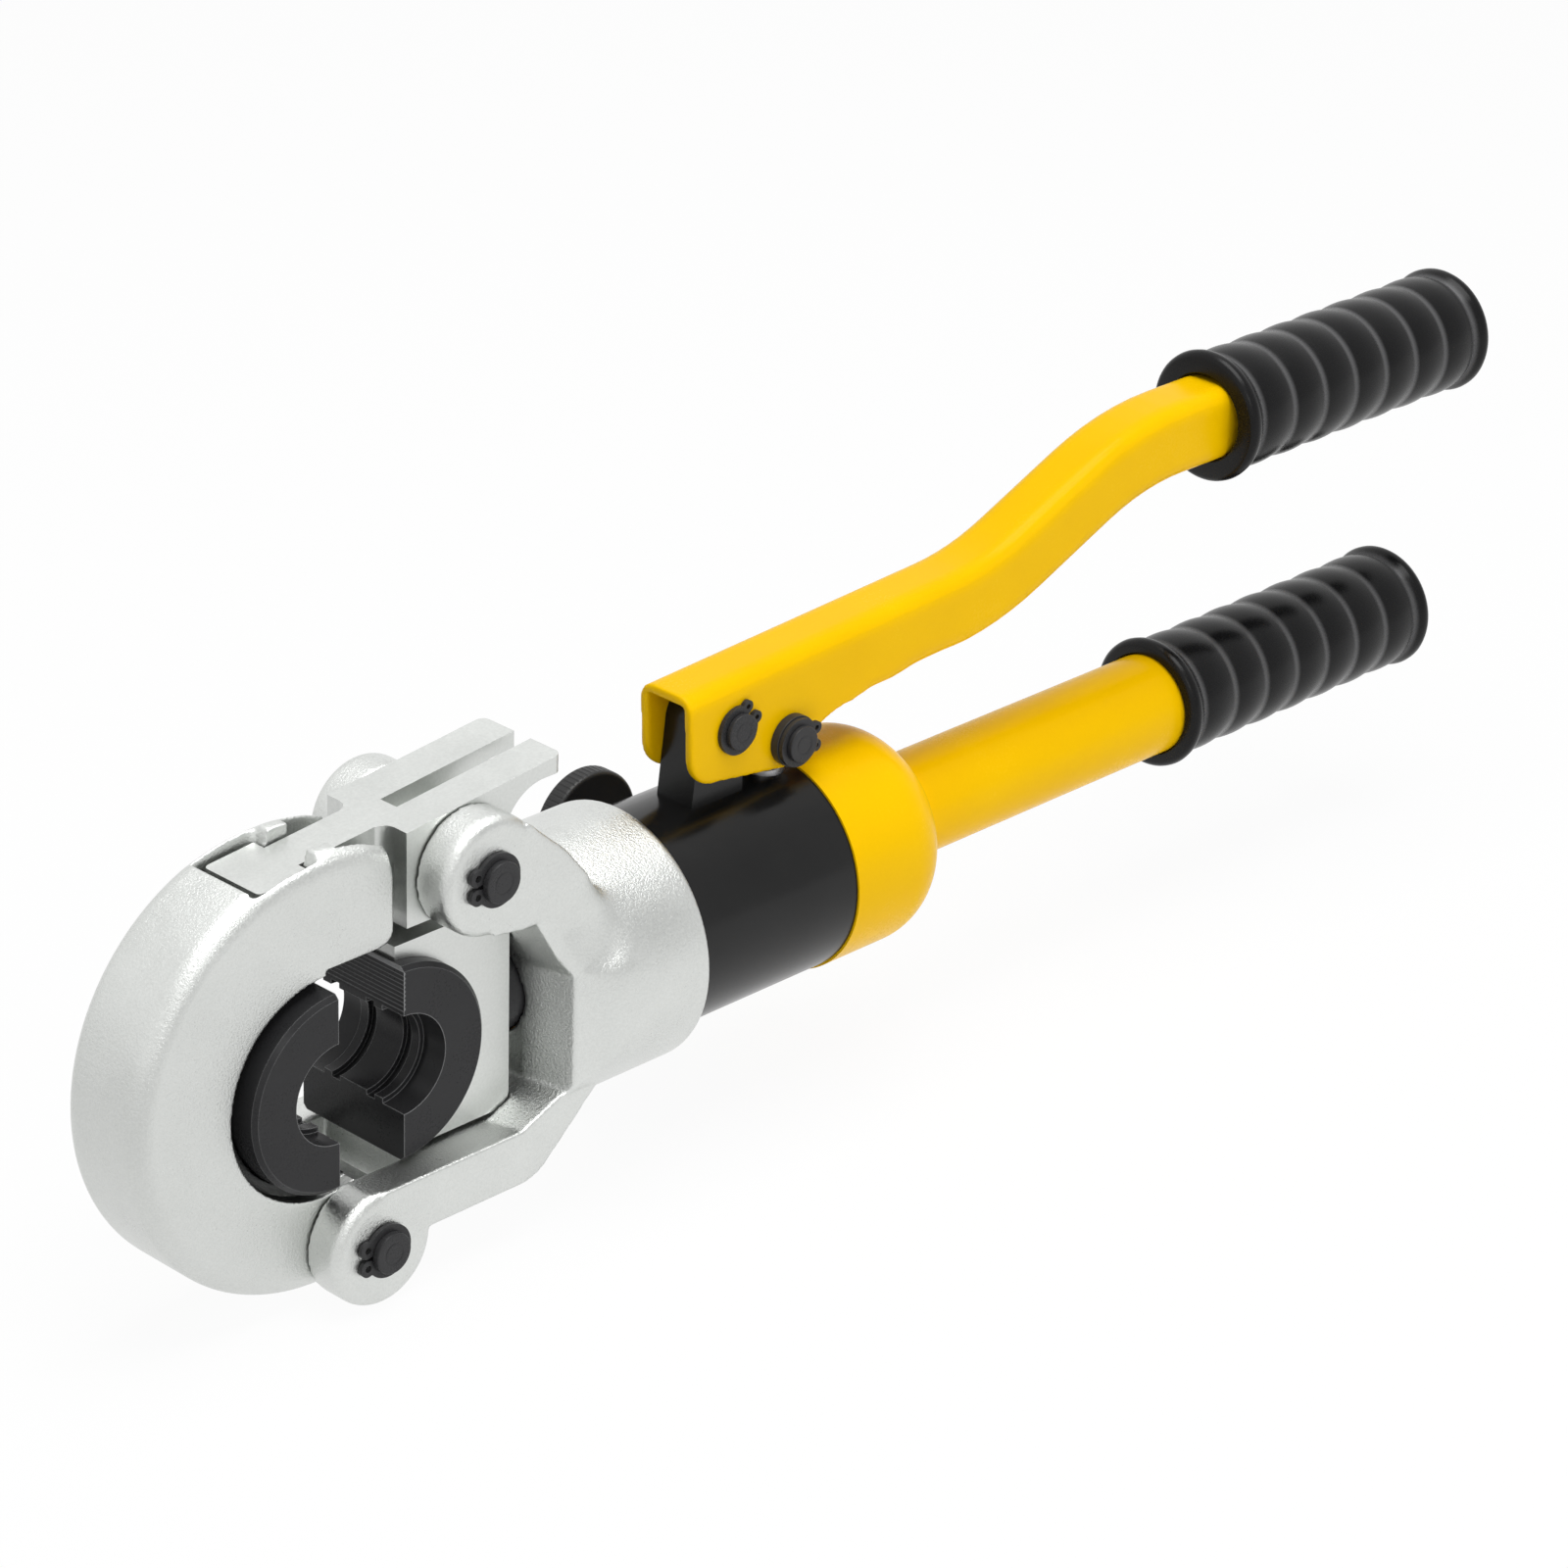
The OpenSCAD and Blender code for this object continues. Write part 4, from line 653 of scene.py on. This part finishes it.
# Studio: a pale floor under the tool, a white surround and three soft lamps.
# The floor shows white to the camera and keeps a faint shadow.
floor_z = cad_box[0][2] - 0.0005
bpy.ops.object.select_all(action="DESELECT")
bpy.ops.mesh.primitive_plane_add(size=30, location=(0, 0, 0))
floor = bpy.context.object
floor.name = "studio_floor"
bpy.ops.object.mode_set(mode="EDIT")
bpy.ops.transform.translate(value=(0, 0, floor_z))
bpy.ops.object.mode_set(mode="OBJECT")
pale = bpy.data.materials.new("pale floor")
pale.use_nodes = True
nodes, links = pale.node_tree.nodes, pale.node_tree.links
shader = nodes["Principled BSDF"]
shader.inputs["Base Color"].default_value = (0.9, 0.9, 0.9, 1)
shader.inputs["Roughness"].default_value = 0.9
shader.inputs["Specular IOR Level"].default_value = 0
glow_share = 0.94
glow = nodes.new("ShaderNodeEmission")
glow.inputs["Color"].default_value = (1, 1, 1, 1)
place = nodes.new("ShaderNodeTexCoord")
along = nodes.new("ShaderNodeSeparateXYZ")
# Towards the front the floor's mirror image is painted darker: painted shade, seen only in reflections
painted_floor_shade = map_range(nodes, 0.03, -0.2, 0, 0.24)
dim = math_node(nodes, "MULTIPLY")
level = math_node(nodes, "SUBTRACT")
level.inputs[0].default_value = 1
path = nodes.new("ShaderNodeLightPath")
links.new(place.outputs["Object"], along.inputs[0])
links.new(along.outputs["X"], painted_floor_shade.inputs["Value"])
links.new(painted_floor_shade.outputs["Result"], dim.inputs[0])
links.new(path.outputs["Is Glossy Ray"], dim.inputs[1])
links.new(dim.outputs[0], level.inputs[1])
links.new(level.outputs[0], glow.inputs["Strength"])
seen = math_node(nodes, "MAXIMUM")
seen_more = math_node(nodes, "MAXIMUM")
share = math_node(nodes, "MULTIPLY")
share.inputs[1].default_value = glow_share
blend = nodes.new("ShaderNodeMixShader")
links.new(path.outputs["Is Camera Ray"], seen.inputs[0])
links.new(path.outputs["Is Glossy Ray"], seen.inputs[1])
links.new(seen.outputs[0], seen_more.inputs[0])
links.new(path.outputs["Is Transmission Ray"], seen_more.inputs[1])
links.new(seen_more.outputs[0], share.inputs[0])
links.new(share.outputs[0], blend.inputs["Fac"])
links.new(shader.outputs["BSDF"], blend.inputs[1])
links.new(glow.outputs["Emission"], blend.inputs[2])
links.new(blend.outputs["Shader"], nodes["Material Output"].inputs["Surface"])
coat(floor, pale)

world = bpy.data.worlds.new("white surround")
bpy.context.scene.world = world
world.use_nodes = True
nodes, links = world.node_tree.nodes, world.node_tree.links
sky = nodes["Background"]
sky.inputs["Color"].default_value = (1, 1, 1, 1)
sky.inputs["Strength"].default_value = 0.28
white = nodes.new("ShaderNodeBackground")
white.inputs["Color"].default_value = (1, 1, 1, 1)
white.inputs["Strength"].default_value = 1
room = nodes.new("ShaderNodeBackground")
room.inputs["Color"].default_value = (1, 1, 1, 1)
direction = nodes.new("ShaderNodeTexCoord")
facing = nodes.new("ShaderNodeVectorMath")
facing.operation = "DOT_PRODUCT"
facing.inputs[1].default_value = (0.55, -0.80, 0.25)
dimmer = map_range(nodes, 0, 0.9, 1, 0.72)
path = nodes.new("ShaderNodeLightPath")
seen = math_node(nodes, "MAXIMUM")
mirrored = nodes.new("ShaderNodeMixShader")
blend = nodes.new("ShaderNodeMixShader")
links.new(direction.outputs["Generated"], facing.inputs[0])
links.new(facing.outputs["Value"], dimmer.inputs["Value"])
links.new(dimmer.outputs["Result"], room.inputs["Strength"])
links.new(path.outputs["Is Glossy Ray"], mirrored.inputs["Fac"])
links.new(sky.outputs["Background"], mirrored.inputs[1])
links.new(room.outputs["Background"], mirrored.inputs[2])
links.new(path.outputs["Is Camera Ray"], seen.inputs[0])
links.new(path.outputs["Is Transmission Ray"], seen.inputs[1])
links.new(seen.outputs[0], blend.inputs["Fac"])
links.new(mirrored.outputs["Shader"], blend.inputs[1])
links.new(white.outputs["Background"], blend.inputs[2])
links.new(blend.outputs["Shader"], nodes["World Output"].inputs["Surface"])

tool_middle = Vector((0.17, 0, 0.02))
for name, place, size, power, shines in (
        ("overhead lamp", (0.15, -0.15, 1.4), 1.1, 18, True),
        ("front lamp", (0.45, -1.4, 0.55), 1.2, 6, False),
        ("key lamp", (-0.55, -1.2, 0.9), 0.45, 1.8, True)):
    lamp = bpy.data.lights.new(name, "AREA")
    lamp.size = size
    lamp.energy = power
    stand = bpy.data.objects.new(name, lamp)
    bpy.context.scene.collection.objects.link(stand)
    stand.location = place
    stand.visible_glossy = shines
    aim = tool_middle - Vector(place)
    stand.rotation_euler = aim.to_track_quat("-Z", "Y").to_euler()


# Camera: a long lens in front of the head, above it and to its left, rolled by under two degrees.
# Its place and lens were fitted to the edges of the tool.
eye = Vector((-0.7705, -0.9076, 0.6444))
target = Vector((0.17231, 0, 0.02163))
roll = math.radians(1.72)
back = (eye - target).normalized()
level = Vector((0, 0, 1)).cross(back).normalized()
upright = back.cross(level)
right = level * math.cos(roll) + upright * math.sin(roll)
above = upright * math.cos(roll) - level * math.sin(roll)
lens = bpy.data.cameras.new("photo camera")
lens.sensor_width = 36
lens.lens = 125.98
camera = bpy.data.objects.new("photo camera", lens)
bpy.context.scene.collection.objects.link(camera)
camera.matrix_world = Matrix((
    (right[0], above[0], back[0], eye[0]),
    (right[1], above[1], back[1], eye[1]),
    (right[2], above[2], back[2], eye[2]),
    (0, 0, 0, 1)))
bpy.context.scene.camera = camera
